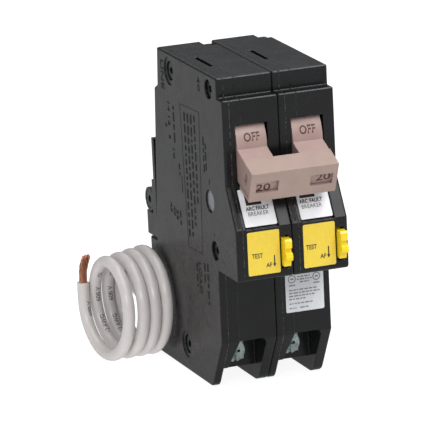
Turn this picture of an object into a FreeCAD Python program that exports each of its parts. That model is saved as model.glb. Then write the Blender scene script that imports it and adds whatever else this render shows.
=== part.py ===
import FreeCAD, Part

"""Two-pole plug-on arc-fault circuit breaker with a white neutral pigtail, in millimetres.

Frame: +X to the right, -Y is the front with the handles, +Z is up, towards the line end.
The origin is the bottom centre of the breaker's box, measured without its pigtail.
Each pole is built in its own frame, x from the pole's left face, y back from the front face
of the crown, z up from the feet, and is then placed beside the other one.
"""

import math
import os
import re

import Sketcher
from FreeCAD import Placement, Rotation, Vector

DIMENSIONS = {
    # the pole and its three layers, from left to right: cover, frame, case
    "pole_w": 19.05,
    "pole_gap": 0.05,
    "cover_t": 2.3,
    "frame_t": 3.8,
    "cover_plate_t": 1.5,
    "partition_t": 1.0,
    "case_floor_t": 1.3,
    "wall": 1.8,
    "front_wall": 1.4,
    "edge_round": 0.6,
    # side outline: heights above the feet, depths behind the crown's front face
    "height": 105.6,
    "crown_drop": 6.4,
    "deck_reach": 4.6,
    "slant_top_z": 71.2,
    "nose_top_z": 58.3,
    "nose_bottom_z": 41.2,
    "nose_reach": 12.0,
    "chin_depth": 5.4,
    "chin_z": 16.7,
    "toe_depth": 15.6,
    "toe_round": 4.5,
    "chin_round": 1.5,
    "top_depth": 53.7,
    "shoulder_depth": 57.9,
    "shoulder_z": 92.9,
    "hip_depth": 62.4,
    "hip_z": 38.8,
    "foot_depth": 68.6,
    "foot_z": 38.6,
    # rear edge of the frame and case, behind the cover's edge
    "flange_x": 0.5,
    "rib_depth": 64.6,
    "rib_top_z": 72.9,
    "rib_bottom_z": 57.3,
    "block_depth": 72.0,
    "block_top_z": 46.8,
    "block_bottom_z": 38.9,
    "boss_depth": 69.3,
    "boss_z": 51.0,
    "boss_rad": 4.0,
    "rail_slot_d": 5.0,
    "rail_slot_z": 19.0,
    "rail_slot_gap": 4.6,
    # top notch and vent slot
    "notch_w": 4.4,
    "notch_d": 7.0,
    "notch_drop": 1.2,
    "vent_w": 1.4,
    "vent_front": 17.5,
    "vent_len": 15.0,
    # rivets that hold the stack together
    "rivet_rad": 2.0,
    "rivet_bore": 1.2,
    "rivet_fit": 0.1,
    "rivet_head_rad": 2.9,
    "rivet_head_t": 0.5,
    "post_rad": 3.7,
    "sink_rad": 3.2,
    "sink_ring_rad": 4.7,
    "sink_ring_d": 0.35,
    "sink_d": 1.3,
    "rear_sink_d": 0.6,
    "rivet_a_y": 42.7,
    "rivet_a_z": 99.8,
    "rivet_b_y": 7.3,
    "rivet_b_z": 100.8,
    "rivet_d_y": 7.6,
    "rivet_d_z": 47.6,
    "rivet_e_y": 38.0,
    "rivet_e_z": 9.0,
    # calibration hole and its seal
    "seal_y": 10.4,
    "seal_z": 63.4,
    "seal_hole_rad": 3.7,
    "seal_fit": 0.1,
    "seal_t": 0.7,
    # handle and tie bar
    "handle_x": 4.2,
    "handle_w": 10.2,
    "window_left": 0.2,
    "window_right": 0.7,
    "window_top_z": 90.7,
    "window_bottom_z": 71.9,
    "pivot_y": 7.5,
    "pivot_z": 83.1,
    "drum_rad": 12.8,
    "drum_back": 4.0,
    "drum_room": 0.35,
    "pin_rad": 1.8,
    "pin_fit": 0.06,
    "pin_len": 1.1,
    "handle_tilt": 23.5,
    "lever_half": 4.9,
    "lever_step": 17.6,
    "lever_tip": 24.7,
    "tip_half": 4.2,
    "lever_hole_u": 20.8,
    "lever_hole_rad": 1.25,
    "lever_hole_len": 4.4,
    "lever_hole_d": 2.5,
    "bar_x": 3.85,
    "bar_len": 29.6,
    "bar_root": 17.9,
    "bar_front": 25.9,
    "bar_half": 5.4,
    "bar_wall": 1.0,
    "bar_window_w": 7.6,
    "bar_window_h": 4.0,
    "bar_window_drop": 0.2,
    "bar_window_left_x": 9.7,
    "bar_window_right_x": 9.1,
    # contact arm, swinging in the middle of the case
    "arm_y": 20.0,
    "arm_z": 61.6,
    "arm_x": 10.9,
    "arm_t": 2.0,
    "arm_tilt": 31.1,
    "arm_throw": 9.5,
    "arm_len": 34.0,
    "arm_half": 2.0,
    "hub_rad": 3.0,
    "arm_pin_rad": 1.5,
    "contact_at": 30.5,
    "contact_rad": 1.8,
    "contact_t": 1.4,
    "contact_gap": 0.2,
    "line_strap_t": 1.2,
    # toggle spring
    "spring_rad": 1.5,
    "spring_bore": 0.9,
    "spring_len": 10.0,
    # line jaws and their slot
    "jaw_x": 9.4,
    "jaw_w": 4.8,
    "jaw_t": 0.8,
    "jaw_y": 45.6,
    "jaw_len": 10.0,
    "jaw_z": 72.0,
    "jaw_h": 10.0,
    "jaw_bead_rad": 0.85,
    "jaw_bead_back": 3.5,
    "clip_t": 0.6,
    "clip_fit": 0.1,
    "stab_room": 0.4,
    "stab_slot_h": 15.0,
    # arc plates
    "arc_x": 7.4,
    "arc_w": 9.0,
    "arc_y": 26.0,
    "arc_len": 11.0,
    "arc_z": 93.2,
    "arc_pitch": 2.1,
    "arc_t": 0.8,
    # cradle, the lever that the trip unit lets go
    "cradle_x": 8.2,
    "cradle_t": 1.6,
    "cradle_y": 30.0,
    "cradle_z": 50.0,
    # trip unit: bimetal, magnet yoke and armature
    "armature_y": 50.5,
    "armature_z": 66.0,
    "armature_x": 8.0,
    "armature_w": 7.0,
    "armature_t": 1.2,
    "armature_len": 22.0,
    "armature_pin_rad": 0.8,
    "yoke_x": 7.4,
    "yoke_w": 8.2,
    "yoke_y": 53.6,
    "yoke_d": 3.2,
    "yoke_z": 44.0,
    "yoke_h": 13.0,
    "yoke_t": 1.0,
    "bimetal_x": 9.6,
    "bimetal_w": 3.8,
    "bimetal_y": 54.2,
    "bimetal_t": 0.9,
    "bimetal_h": 40.0,
    # load strap, clamp plate and terminal screw
    "strap_z": 18.9,
    "strap_t": 1.5,
    "strap_x": 10.0,
    "strap_w": 3.0,
    "strap_back": 55.1,
    "pad_y": 16.0,
    "clamp_x": 2.8,
    "clamp_w": 7.4,
    "clamp_y": 13.6,
    "clamp_t": 1.6,
    "clamp_drop": 3.7,
    "screw_x": 6.2,
    "screw_z": 12.4,
    "screw_rad": 2.0,
    "screw_fit": 0.06,
    "screw_head_rad": 3.5,
    "screw_head_t": 2.6,
    "screw_end": 18.5,
    "screw_slot_w": 1.1,
    "screw_slot_d": 1.3,
    # terminal recess and the wire channel under the floor
    "recess_right": 15.6,
    "recess_back": 17.6,
    "recess_top_z": 17.1,
    "recess_round": 2.2,
    "web_low_z": 7.0,
    "web_low_w": 1.5,
    "web_t": 0.9,
    "channel_back": 46.0,
    "channel_top_z": 5.2,
    # electronics
    "board_x": 3.6,
    "board_t": 1.0,
    "board_y": 22.0,
    "board_w": 24.0,
    "board_z": 24.0,
    "board_h": 70.0,
    "coil_y": 30.0,
    "coil_len": 12.0,
    "coil_z": 31.0,
    "coil_rad": 5.0,
    "plunger_rad": 1.5,
    "plunger_fit": 0.08,
    "plunger_tail": 2.0,
    "plunger_reach": 4.0,
    "ring_y": 24.0,
    "ring_len": 5.0,
    "ring_rad": 4.9,
    "ring_bore": 2.4,
    # common trip bar
    "trip_y": 50.3,
    "trip_z": 36.0,
    "trip_rad": 1.5,
    "trip_start": 7.4,
    "trip_paddle_drop": 9.0,
    "trip_paddle_t": 1.2,
    "trip_paddle_w": 6.0,
    # test button
    "button_x": 15.1,
    "button_w": 2.4,
    "button_z": 45.2,
    "button_h": 9.2,
    "button_proud": 4.0,
    "button_fit": 0.1,
    "button_travel": 1.2,
    "button_flange": 1.2,
    # ridge along the slant of each cover
    "ridge_x": 1.3,
    "ridge_rad": 0.35,
    "ridge_low": 0.9,
    "ridge_len": 12.8,
    # labels
    "label_t": 0.15,
    "label_x": 3.6,
    "label_w": 10.9,
    "label_recess": 0.6,
    "test_label_z": 43.2,
    "test_label_h": 14.2,
    "name_label_h": 12.6,
    "rating_x": 3.5,
    "rating_w": 13.2,
    "rating_z": 24.1,
    "rating_h": 13.5,
    "label_round": 0.5,
    # pigtail
    "wire_rad": 2.05,
    "copper_rad": 1.15,
    "copper_len": 9.5,
    "turn_rad": 16.2,
    "turn_pitch": 4.0,
    "turns": 4,
    "pigtail_turn": 6.0,
    "bushing_rad": 3.0,
    "bushing_out": 1.2,
    "bushing_x": 6.1,
    "bushing_z": 12.0,
}

doc = FreeCAD.newDocument("arc_fault_breaker")
sheet = doc.addObject("Spreadsheet::Sheet", "dims")
for row, (alias, number) in enumerate(DIMENSIONS.items(), start=1):
    sheet.set(f"A{row}", alias)
    sheet.set(f"B{row}", str(number))
    sheet.setAlias(f"B{row}", alias)
doc.recompute()

SUBPARTS = []
NAME = re.compile(r"[a-z][a-z0-9_]*")


def bind(text):
    """The expression text with each size's name pointing at its cell of the sheet."""
    return NAME.sub(lambda m: "dims." + m.group() if m.group() in DIMENSIONS else m.group(), str(text))


def value(text):
    """What an expression comes to, as a plain number."""
    result = sheet.evalExpression(bind(text))
    return float(getattr(result, "Value", result))


def link(item, prop, text):
    """Tie one property of an object to the sheet."""
    item.setExpression(prop, bind(text))


# Frame of one pole. Depth is counted back from the crown's front face.
FRONT_TEXT = "(bar_front * cos(handle_tilt * 1 deg) + bar_half * sin(handle_tilt * 1 deg) - pivot_y)"
ORIGIN_Y = f"(({FRONT_TEXT} - boss_depth - boss_rad) / 2)"
SIDES = {"left": "-pole_w", "right": "0"}
CASE_X = "(cover_t + frame_t)"
CASE_END = "(pole_w - pole_gap)"
CAVITY_END = "(pole_w - pole_gap - case_floor_t)"


def place(item, node, side, x="0", y="0", z="0", tilt=None):
    """Name a finished sub-part and put it in the row's frame."""
    item.Label = node
    if tilt is not None:
        item.Placement = Placement(Vector(), Rotation(Vector(1, 0, 0), 1))
        link(item, "Placement.Rotation.Angle", tilt)
    link(item, "Placement.Base.x", f"{SIDES[side]} + {x}")
    link(item, "Placement.Base.y", f"{ORIGIN_Y} + {y}")
    link(item, "Placement.Base.z", z)
    SUBPARTS.append(item)
    return item


# ---------------------------------------------------------------- building blocks


def block(name, x, y, z):
    """A Part::Box between the (low, high) pairs x, y and z."""
    box = doc.addObject("Part::Box", name)
    for axis, size, (low, high) in zip("xyz", ("Length", "Width", "Height"), (x, y, z)):
        link(box, size, f"({high}) - ({low})")
        link(box, f"Placement.Base.{axis}", low)
    return box


TURN_TO = {
    "x": Rotation(Vector(0, 1, 0), 90),
    "y": Rotation(Vector(1, 0, 0), -90),
    "z": Rotation(),
}


def rod(name, along, rad, start, length, x="0", y="0", z="0"):
    """A Part::Cylinder along one axis. start replaces the coordinate on that axis."""
    cylinder = doc.addObject("Part::Cylinder", name)
    cylinder.Placement = Placement(Vector(), TURN_TO[along])
    link(cylinder, "Radius", rad)
    link(cylinder, "Height", length)
    place_at = {"x": x, "y": y, "z": z, along: start}
    for axis, text in place_at.items():
        link(cylinder, f"Placement.Base.{axis}", text)
    return cylinder


def fuse(name, shapes):
    joined = doc.addObject("Part::MultiFuse", name)
    joined.Shapes = shapes
    joined.Refine = True
    return joined


def cut(name, base, tools):
    """base less every tool."""
    taken = doc.addObject("Part::Cut", name)
    taken.Base = base
    taken.Tool = tools[0] if len(tools) == 1 else fuse(name + "_tools", tools)
    taken.Refine = True
    return taken


def group(name, shapes):
    """Separate solids in one node."""
    held = doc.addObject("Part::Compound", name)
    held.Links = shapes
    return held


def new_body(name):
    return doc.addObject("PartDesign::Body", name + "_body")


PLANES = {"yz": "YZ_Plane", "xz": "XZ_Plane", "xy": "XY_Plane"}


def sketch(body, name, plane, offset, points):
    """A closed outline of straight edges, each corner tied to the sheet."""
    drawn = body.newObject("Sketcher::SketchObject", name)
    datum = [f for f in body.Origin.OriginFeatures if f.Role == PLANES[plane]][0]
    drawn.AttachmentSupport = [(datum, "")]
    drawn.MapMode = "FlatFace"
    link(drawn, "AttachmentOffset.Base.z", offset)
    spots = [Vector(value(a), value(b), 0) for a, b in points]
    count = len(spots)
    for i in range(count):
        drawn.addGeometry(Part.LineSegment(spots[i], spots[(i + 1) % count]), False)
    for i in range(count):
        drawn.addConstraint(Sketcher.Constraint("Coincident", i, 2, (i + 1) % count, 1))
    for i, texts in enumerate(points):
        for kind, text, now in zip(("DistanceX", "DistanceY"), texts, spots[i]):
            number = drawn.addConstraint(Sketcher.Constraint(kind, -1, 1, i, 1, now))
            link(drawn, f"Constraints[{number}]", text)
    return drawn


def pad(body, name, plane, offset, length, points):
    raised = body.newObject("PartDesign::Pad", name)
    raised.Profile = sketch(body, name + "_outline", plane, offset, points)
    link(raised, "Length", length)
    doc.recompute()
    return raised


def pocket(body, name, plane, offset, length, points):
    """A pocket that starts at offset and runs the way that the plane's normal points."""
    before = body.Shape.Volume
    sunk = body.newObject("PartDesign::Pocket", name)
    sunk.Profile = sketch(body, name + "_outline", plane, offset, points)
    sunk.Reversed = True
    link(sunk, "Length", length)
    doc.recompute()
    if not body.Shape.Volume < before:
        raise RuntimeError(f"{name} takes nothing away")
    return sunk


def round_edges(body, name, rad, wanted):
    """Fillet the edges of the body's tip that the test picks."""
    tip = body.Tip
    picked = [f"Edge{i}" for i, edge in enumerate(tip.Shape.Edges, start=1) if wanted(edge)]
    if not picked:
        raise RuntimeError(f"{name} finds no edge")
    rounded = body.newObject("PartDesign::Fillet", name)
    rounded.Base = (tip, picked)
    link(rounded, "Radius", rad)
    doc.recompute()
    return rounded


def crosswise_at(points):
    """Picks edges along X that stand on one of the outline's corners."""
    spots = [(value(y), value(z)) for y, z in points]

    def wanted(edge):
        low, high = edge.Vertexes[0].Point, edge.Vertexes[-1].Point
        if math.hypot(low.y - high.y, low.z - high.z) > 1e-6:
            return False
        return any(math.hypot(low.y - y, low.z - z) < 1e-4 for y, z in spots)

    return wanted


def rim_at(x_text):
    """Picks the outline's own edges in the plane x."""
    x = value(x_text)
    return lambda edge: all(abs(v.Point.x - x) < 1e-6 for v in edge.Vertexes)


# ---------------------------------------------------------------- outlines of a pole

CROWN_Z = "(height - crown_drop)"
TOE = ("toe_depth", "0")
OUTLINE = [
    ("0", "height"),
    ("top_depth", "height"),
    ("top_depth + 1.2", "shoulder_z"),
    ("shoulder_depth", "shoulder_z - 1.6"),
    ("hip_depth", "hip_z"),
    ("foot_depth", "foot_z"),
    ("foot_depth", "0"),
    TOE,
    ("chin_depth", "chin_z"),
    ("chin_depth", "nose_bottom_z"),
    ("-nose_reach", "nose_bottom_z"),
    ("-nose_reach", "nose_top_z"),
    ("-deck_reach", "slant_top_z"),
    ("-deck_reach", CROWN_Z),
    ("0", CROWN_Z),
]

FLOOR_Z = "(channel_top_z + 1.5)"
RECESS_WALL = "(recess_back + 1.4)"
CAVITY_BACK = [
    ("top_depth - wall", "height - wall"),
    ("top_depth + 1.2 - wall", "shoulder_z - wall"),
    ("shoulder_depth - wall", "shoulder_z - 1.6 - wall"),
    ("hip_depth - wall", "hip_z"),
]
CAVITY = (
    [("wall", "height - wall")]
    + CAVITY_BACK
    + [
        ("hip_depth - wall", FLOOR_Z),
        (RECESS_WALL, FLOOR_Z),
        (RECESS_WALL, "recess_top_z + 1.6"),
        ("chin_depth + wall", "recess_top_z + 1.6"),
        ("chin_depth + wall", "nose_bottom_z + wall"),
        ("-nose_reach + wall", "nose_bottom_z + wall"),
        ("-nose_reach + wall", "nose_top_z - 0.5"),
        ("-deck_reach + front_wall + 0.6", "slant_top_z - 0.4"),
        ("-deck_reach + front_wall", f"{CROWN_Z} - wall"),
        ("wall", f"{CROWN_Z} - wall"),
    ]
)
BOARD_FRONT = "(board_y - 0.6)"
BOARD_BOTTOM = "(board_z - 2)"
BOARD_ROOM = (
    [(BOARD_FRONT, "height - wall")]
    + CAVITY_BACK
    + [("hip_depth - wall", BOARD_BOTTOM), (BOARD_FRONT, BOARD_BOTTOM)]
)

RIVETS = ("rivet_a", "rivet_b", "rivet_d", "rivet_e")
RINGED = ("rivet_a", "rivet_e")
CHIN = OUTLINE[10]
SOFT_CORNERS = [OUTLINE[i] for i in (0, 1, 11, 12, 13)]


def slab(name, offset, thickness, rounded_face):
    """The pole's outline as one layer, with its toe and corners rounded."""
    body = new_body(name)
    pad(body, name + "_slab", "yz", offset, thickness, OUTLINE)
    round_edges(body, name + "_toe", "toe_round", crosswise_at([TOE]))
    round_edges(body, name + "_chin", "chin_round", crosswise_at([CHIN]))
    round_edges(body, name + "_corners", "edge_round", crosswise_at(SOFT_CORNERS))
    if rounded_face:
        round_edges(body, name + "_rim", "edge_round", rim_at(rounded_face))
    return body


def rivet_holes(name, x, length, rad):
    """One hole for each rivet, and one for the rear rivet."""
    spots = [(f"{r}_y", f"{r}_z") for r in RIVETS] + [("boss_depth", "boss_z")]
    return [rod(f"{name}_hole{i}", "x", rad, x, length, y=y, z=z) for i, (y, z) in enumerate(spots)]


def rivet_posts(name, x, length):
    return [rod(f"{name}_post_{r}", "x", "post_rad", x, length, y=f"{r}_y", z=f"{r}_z") for r in RIVETS]


def rear_edge(name, x, end, front):
    """Rib, web, rivet boss and block behind the cover's rear edge."""
    return [
        block(name + "_rib", (x, end), (front, "rib_depth"), ("rib_bottom_z", "rib_top_z")),
        block(name + "_web", (x, end), (front, "boss_depth - 3"), ("block_top_z - 1", "rib_bottom_z + 1")),
        block(name + "_block", (x, end), (front, "block_depth"), ("block_bottom_z", "block_top_z")),
        rod(name + "_boss", "x", "boss_rad", x, f"({end}) - ({x})", y="boss_depth", z="boss_z"),
    ]


def rail_slot(name):
    return block(
        name + "_rail_slot",
        ("-1", "pole_w + 1"),
        ("foot_depth - rail_slot_d", "foot_depth + 5"),
        ("rail_slot_z", "rail_slot_z + rail_slot_gap"),
    )


def wire_way(name):
    """The terminal's recess, open at the front and below, and the channel that leads to it."""
    body = new_body(name + "_recess")
    pad(
        body,
        name + "_recess_room",
        "yz",
        "cover_t",
        "recess_right - cover_t",
        [("-5", "-5"), ("recess_back", "-5"), ("recess_back", "recess_top_z"), ("-5", "recess_top_z")],
    )
    right, top = value("recess_right"), value("recess_top_z")
    round_edges(
        body,
        name + "_arch",
        "recess_round",
        lambda e: all(abs(v.Point.x - right) + abs(v.Point.z - top) < 1e-6 for v in e.Vertexes),
    )
    channel = block(
        name + "_channel",
        ("cover_t", "recess_right"),
        ("recess_back - 1", "channel_back"),
        ("-1", "channel_top_z"),
    )
    screw_room = rod(
        name + "_screw_room", "y", "screw_rad + 0.6", "recess_back - 1", "3", x="screw_x", z="screw_z"
    )
    return [body, channel, screw_room]


def terminal_web(name):
    """The frame's front wall beside the terminal, on the chamfer, with an edge that runs down to the cover."""
    low_y = "(chin_depth + (chin_z - web_low_z) * (toe_depth - chin_depth) / chin_z)"
    top = "(recess_top_z + 0.3)"
    sheet = new_body(name + "_web")
    pad(
        sheet,
        name + "_web_sheet",
        "yz",
        "cover_t",
        "frame_t",
        [
            ("chin_depth", top),
            ("chin_depth", "chin_z"),
            (low_y, "web_low_z"),
            (f"{low_y} + web_t", "web_low_z"),
            ("chin_depth + web_t", "chin_z"),
            ("chin_depth + web_t", top),
        ],
    )
    corner = new_body(name + "_web_corner")
    pad(
        corner,
        name + "_web_corner_room",
        "xz",
        "-toe_depth",
        "toe_depth + 1",
        [
            (CASE_X, "recess_top_z"),
            ("cover_t + web_low_w", "web_low_z - 0.1"),
            (f"{CASE_X} + 1", "web_low_z - 0.1"),
            (f"{CASE_X} + 1", "recess_top_z"),
        ],
    )
    return cut(name + "_web_piece", sheet, [corner])


def label_recess(name):
    """The sunk face of the slant that the name label lies in."""
    tool = block(
        name + "_label_recess",
        ("label_x - 0.2", "label_x + label_w + 0.2"),
        ("-1", "label_recess"),
        ("0", "name_label_h + 1.4"),
    )
    lean_onto_slant(tool)
    return tool


def lean_onto_slant(item):
    """Stand an upright piece on the slant's lower edge, leaning back with the slant."""
    item.Placement = Placement(item.Placement.Base, Rotation(Vector(-1, 0, 0), 1))
    link(item, "Placement.Rotation.Angle", "atan((nose_reach - deck_reach) / (slant_top_z - nose_top_z))")
    link(item, "Placement.Base.y", "-nose_reach")
    link(item, "Placement.Base.z", "nose_top_z")


def slant_ridge(name):
    """A half-round ridge along the slant, near the cover's outer edge."""
    ridge = rod(name + "_ridge", "z", "ridge_rad", "0", "ridge_len", x="ridge_x")
    lean_onto_slant(ridge)
    lean = "(nose_reach - deck_reach) / (slant_top_z - nose_top_z)"
    link(ridge, "Placement.Base.y", f"-nose_reach + ridge_low * {lean}")
    link(ridge, "Placement.Base.z", "nose_top_z + ridge_low")
    return ridge


def window(name, bottom="window_bottom_z"):
    """The handle's window through the front wall."""
    return block(
        name + "_window",
        ("handle_x - window_left", "handle_x + handle_w + window_right"),
        ("-deck_reach - 2", "pivot_y"),
        (bottom, "window_top_z"),
    )


def stab_slot(name):
    """The slot in the back that a bus stab goes into."""
    return block(
        name + "_stab_slot",
        ("jaw_x - stab_room", "jaw_x + jaw_w + stab_room"),
        ("shoulder_depth - 4", "shoulder_depth + 8"),
        ("jaw_z - 1", "jaw_z - 1 + stab_slot_h"),
    )


def trip_hole(name, x, length):
    return rod(name + "_trip_hole", "x", "trip_rad + pin_fit", x, length, y="trip_y", z="trip_z")


# ---------------------------------------------------------------- case layers


def cover(side):
    name = side + "_cover"
    body = slab(name, "0", "cover_t", "0")
    pocket(body, name + "_room", "yz", "cover_plate_t", "cover_t", BOARD_ROOM)
    tools = rivet_holes(name, "-1", "cover_t + 2", "rivet_rad + rivet_fit")[:-1]
    for r in RIVETS:
        tools.append(rod(f"{name}_sink_{r}", "x", "sink_rad", "-1", "sink_d + 1", y=f"{r}_y", z=f"{r}_z"))
    for r in RINGED:
        tools.append(
            rod(f"{name}_ring_{r}", "x", "sink_ring_rad", "-1", "sink_ring_d + 1", y=f"{r}_y", z=f"{r}_z")
        )
    tools.append(rod(name + "_seal_hole", "x", "seal_hole_rad", "-1", "sink_d + 1", y="seal_y", z="seal_z"))
    tools.append(rail_slot(name))
    if side == "right":
        tools.append(trip_hole(name, "-1", "cover_t + 2"))
    shell = cut(name + "_shell", body, tools)
    place(fuse(name + "_whole", [shell, slant_ridge(name)]), name, side)


def middle_frame(side):
    name = side + "_frame"
    body = slab(name, "cover_t", "frame_t", None)
    pocket(body, name + "_room", "yz", "cover_t", "frame_t - partition_t", BOARD_ROOM)
    posts = [rod(name + "_post", "x", "post_rad", "cover_t", "frame_t", y="rivet_a_y", z="rivet_a_z")]
    flange = rear_edge(name + "_flange", "flange_x", "cover_t", "hip_depth + 0.2")
    rear = rear_edge(name + "_rear", "cover_t", CASE_X, "hip_depth - wall")
    solid = fuse(name + "_solid", [body] + posts + flange + rear)
    tools = rivet_holes(name, "-1", "pole_w", "rivet_rad + rivet_fit")
    tools.append(
        rod(
            name + "_rear_sink",
            "x",
            "rivet_head_rad + 0.1",
            "0",
            "flange_x + rear_sink_d",
            y="boss_depth",
            z="boss_z",
        )
    )
    tools.append(
        rod(
            name + "_drum_room",
            "x",
            "drum_rad + drum_room",
            "handle_x - 0.3",
            "10",
            y="pivot_y",
            z="pivot_z",
        )
    )
    tools.append(
        block(
            name + "_lever_room",
            ("handle_x - window_left", "10"),
            ("-deck_reach - 2", "pivot_y"),
            ("window_bottom_z", "window_top_z"),
        )
    )
    tools.append(
        rod(
            name + "_pivot",
            "x",
            "pin_rad + pin_fit",
            "handle_x - pin_len - 0.1",
            "5",
            y="pivot_y",
            z="pivot_z",
        )
    )
    for pin, rad in (("arm", "arm_pin_rad"), ("cradle", "arm_pin_rad"), ("armature", "armature_pin_rad")):
        tools.append(
            rod(
                f"{name}_{pin}_hole",
                "x",
                f"{rad} + pin_fit",
                "cover_t",
                "frame_t + 1",
                y=f"{pin}_y",
                z=f"{pin}_z",
            )
        )
    tools.append(
        block(
            name + "_vent",
            (f"{CASE_X} - vent_w", f"{CASE_X} + 1"),
            ("vent_front", "vent_front + vent_len"),
            ("height - wall - 2", "height + 1"),
        )
    )
    tools += wire_way(name)
    tools += [label_recess(name), rail_slot(name)]
    if side == "right":
        tools.append(trip_hole(name, "-1", "pole_w"))
    else:
        tools.append(
            rod(
                name + "_wire_hole", "y", "bushing_rad", "hip_depth - 8", "20", x="bushing_x", z="bushing_z"
            )
        )
    shell = cut(name + "_shell", solid, tools)
    place(fuse(name + "_whole", [shell, terminal_web(name)]), name, side)


def main_case(side):
    name = side + "_case"
    body = slab(name, CASE_X, f"{CASE_END} - {CASE_X}", CASE_END)
    pocket(body, name + "_room", "yz", CASE_X, f"{CAVITY_END} - {CASE_X}", CAVITY)
    extras = rivet_posts(name, CASE_X, f"{CASE_END} - {CASE_X} - edge_round")
    extras += rear_edge(name + "_rear", CASE_X, CASE_END, "hip_depth - wall")
    pins = (
        ("handle_x + handle_w + 0.2", "pivot_y", "pivot_z", "pin_rad", "pin_len + 0.1"),
        ("arm_x + arm_t + 0.2", "arm_y", "arm_z", "arm_pin_rad", "2.3"),
        ("arm_x + arm_t + 0.2", "cradle_y", "cradle_z", "arm_pin_rad", "2.3"),
        ("armature_x + armature_w + 0.2", "armature_y", "armature_z", "armature_pin_rad", "1.3"),
    )
    holes = []
    for i, (x, y, z, rad, depth) in enumerate(pins):
        extras.append(
            rod(f"{name}_pin_post{i}", "x", f"{rad} + 1.2", x, f"{CAVITY_END} + 0.2 - ({x})", y=y, z=z)
        )
        holes.append(
            rod(
                f"{name}_pin_hole{i}",
                "x",
                f"{rad} + pin_fit",
                CASE_X,
                f"{x} + {depth} - {CASE_X}",
                y=y,
                z=z,
            )
        )
    solid = fuse(name + "_solid", [body] + extras)
    tools = holes + rivet_holes(name, "0", "pole_w + 1", "rivet_rad + rivet_fit")
    spots = [(f"{r}_y", f"{r}_z") for r in RIVETS] + [("boss_depth", "boss_z")]
    for i, (y, z) in enumerate(spots):
        tools.append(
            rod(f"{name}_sink{i}", "x", "rivet_head_rad + 0.1", f"{CASE_END} - rear_sink_d", "5", y=y, z=z)
        )
    tools.append(window(name))
    tools += wire_way(name)
    tools += [label_recess(name), rail_slot(name), stab_slot(name)]
    tools.append(
        block(
            name + "_notch",
            ("pole_w - notch_w", "pole_w + 1"),
            ("top_depth - notch_d", "top_depth + 5"),
            ("height - notch_drop", "height + 1"),
        )
    )
    tools.append(
        block(
            name + "_button_slot",
            ("button_x - button_fit", "button_x + button_w + button_fit"),
            ("-nose_reach - 1", "-nose_reach + wall + 1"),
            ("button_z - button_travel + 0.2", "button_z + button_h + 0.8"),
        )
    )
    tools.append(
        block(
            name + "_strap_slot",
            ("screw_x - 0.2", "strap_x + strap_w + 0.2"),
            ("pad_y - 0.1", "recess_back + 0.1"),
            ("recess_top_z - 2.5", "strap_z"),
        )
    )
    if side == "left":
        tools.append(trip_hole(name, f"{CAVITY_END} - 1", "5"))
        tools.append(
            rod(
                name + "_wire_hole", "y", "bushing_rad", "hip_depth - 8", "20", x="bushing_x", z="bushing_z"
            )
        )
    place(cut(name + "_shell", solid, tools), name, side)


# ---------------------------------------------------------------- handle and tie bar


def handle(side):
    """Drum on its pins, with the lever that the tie bar slips over. The lever points to -y here."""
    name = side + "_handle"
    drum = rod(name + "_drum", "x", "drum_rad", "handle_x", "handle_w")
    rear = block(name + "_rear", ("0", "20"), ("drum_back", "drum_rad + 1"), ("-20", "20"))
    flat = cut(name + "_flat_drum", drum, [rear])
    lever = block(
        name + "_lever", ("handle_x", "handle_x + handle_w"), ("-lever_step", "0"), (
            "-lever_half", "lever_half"
        )
    )
    tip = block(
        name + "_tip", ("handle_x", "handle_x + handle_w"), ("-lever_tip", "0"), ("-tip_half", "tip_half")
    )
    pins = rod(name + "_pins", "x", "pin_rad", "handle_x - pin_len", "handle_w + 2 * pin_len")
    solid = fuse(name + "_solid", [flat, lever, tip, pins])
    holes = []
    for i, x in enumerate(("handle_x", "handle_x + handle_w - lever_hole_d")):
        half = "(lever_hole_len / 2 - lever_hole_rad)"
        holes.append(
            block(
                f"{name}_slot{i}",
                (x, f"{x} + lever_hole_d"),
                ("-lever_hole_u - lever_hole_rad", "-lever_hole_u + lever_hole_rad"),
                (f"-{half}", half),
            )
        )
        for k, z in enumerate((f"-{half}", half)):
            holes.append(
                rod(
                    f"{name}_slot{i}_end{k}",
                    "x",
                    "lever_hole_rad",
                    x,
                    "lever_hole_d",
                    y="-lever_hole_u",
                    z=z,
                )
            )
    place(cut(name + "_body", solid, holes), name, side, y="pivot_y", z="pivot_z", tilt="handle_tilt")


def tie_bar():
    """The channel that joins both levers, drawn in the handle's own frame."""
    end = "(bar_x + bar_len)"
    outer = block("tie_bar_outer", ("bar_x", end), ("-bar_front", "-bar_root"), ("-bar_half", "bar_half"))
    inner = block(
        "tie_bar_inner",
        ("bar_x - 1", f"{end} + 1"),
        ("-bar_front + bar_wall", "-bar_root + 1"),
        ("-bar_half + bar_wall", "bar_half - bar_wall"),
    )
    windows = []
    for i, x in enumerate(("bar_window_left_x", "(pole_w + bar_window_right_x)")):
        windows.append(
            block(
                f"tie_bar_window{i}",
                (f"{x} - bar_window_w / 2", f"{x} + bar_window_w / 2"),
                ("-bar_front - 1", "-bar_front + bar_wall + 0.01"),
                ("-bar_window_h / 2 - bar_window_drop", "bar_window_h / 2 - bar_window_drop"),
            )
        )
    place(
        cut("tie_bar_body", outer, [inner] + windows),
        "tie_bar",
        "left",
        y="pivot_y",
        z="pivot_z",
        tilt="handle_tilt",
    )


# ---------------------------------------------------------------- switching mechanism


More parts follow.
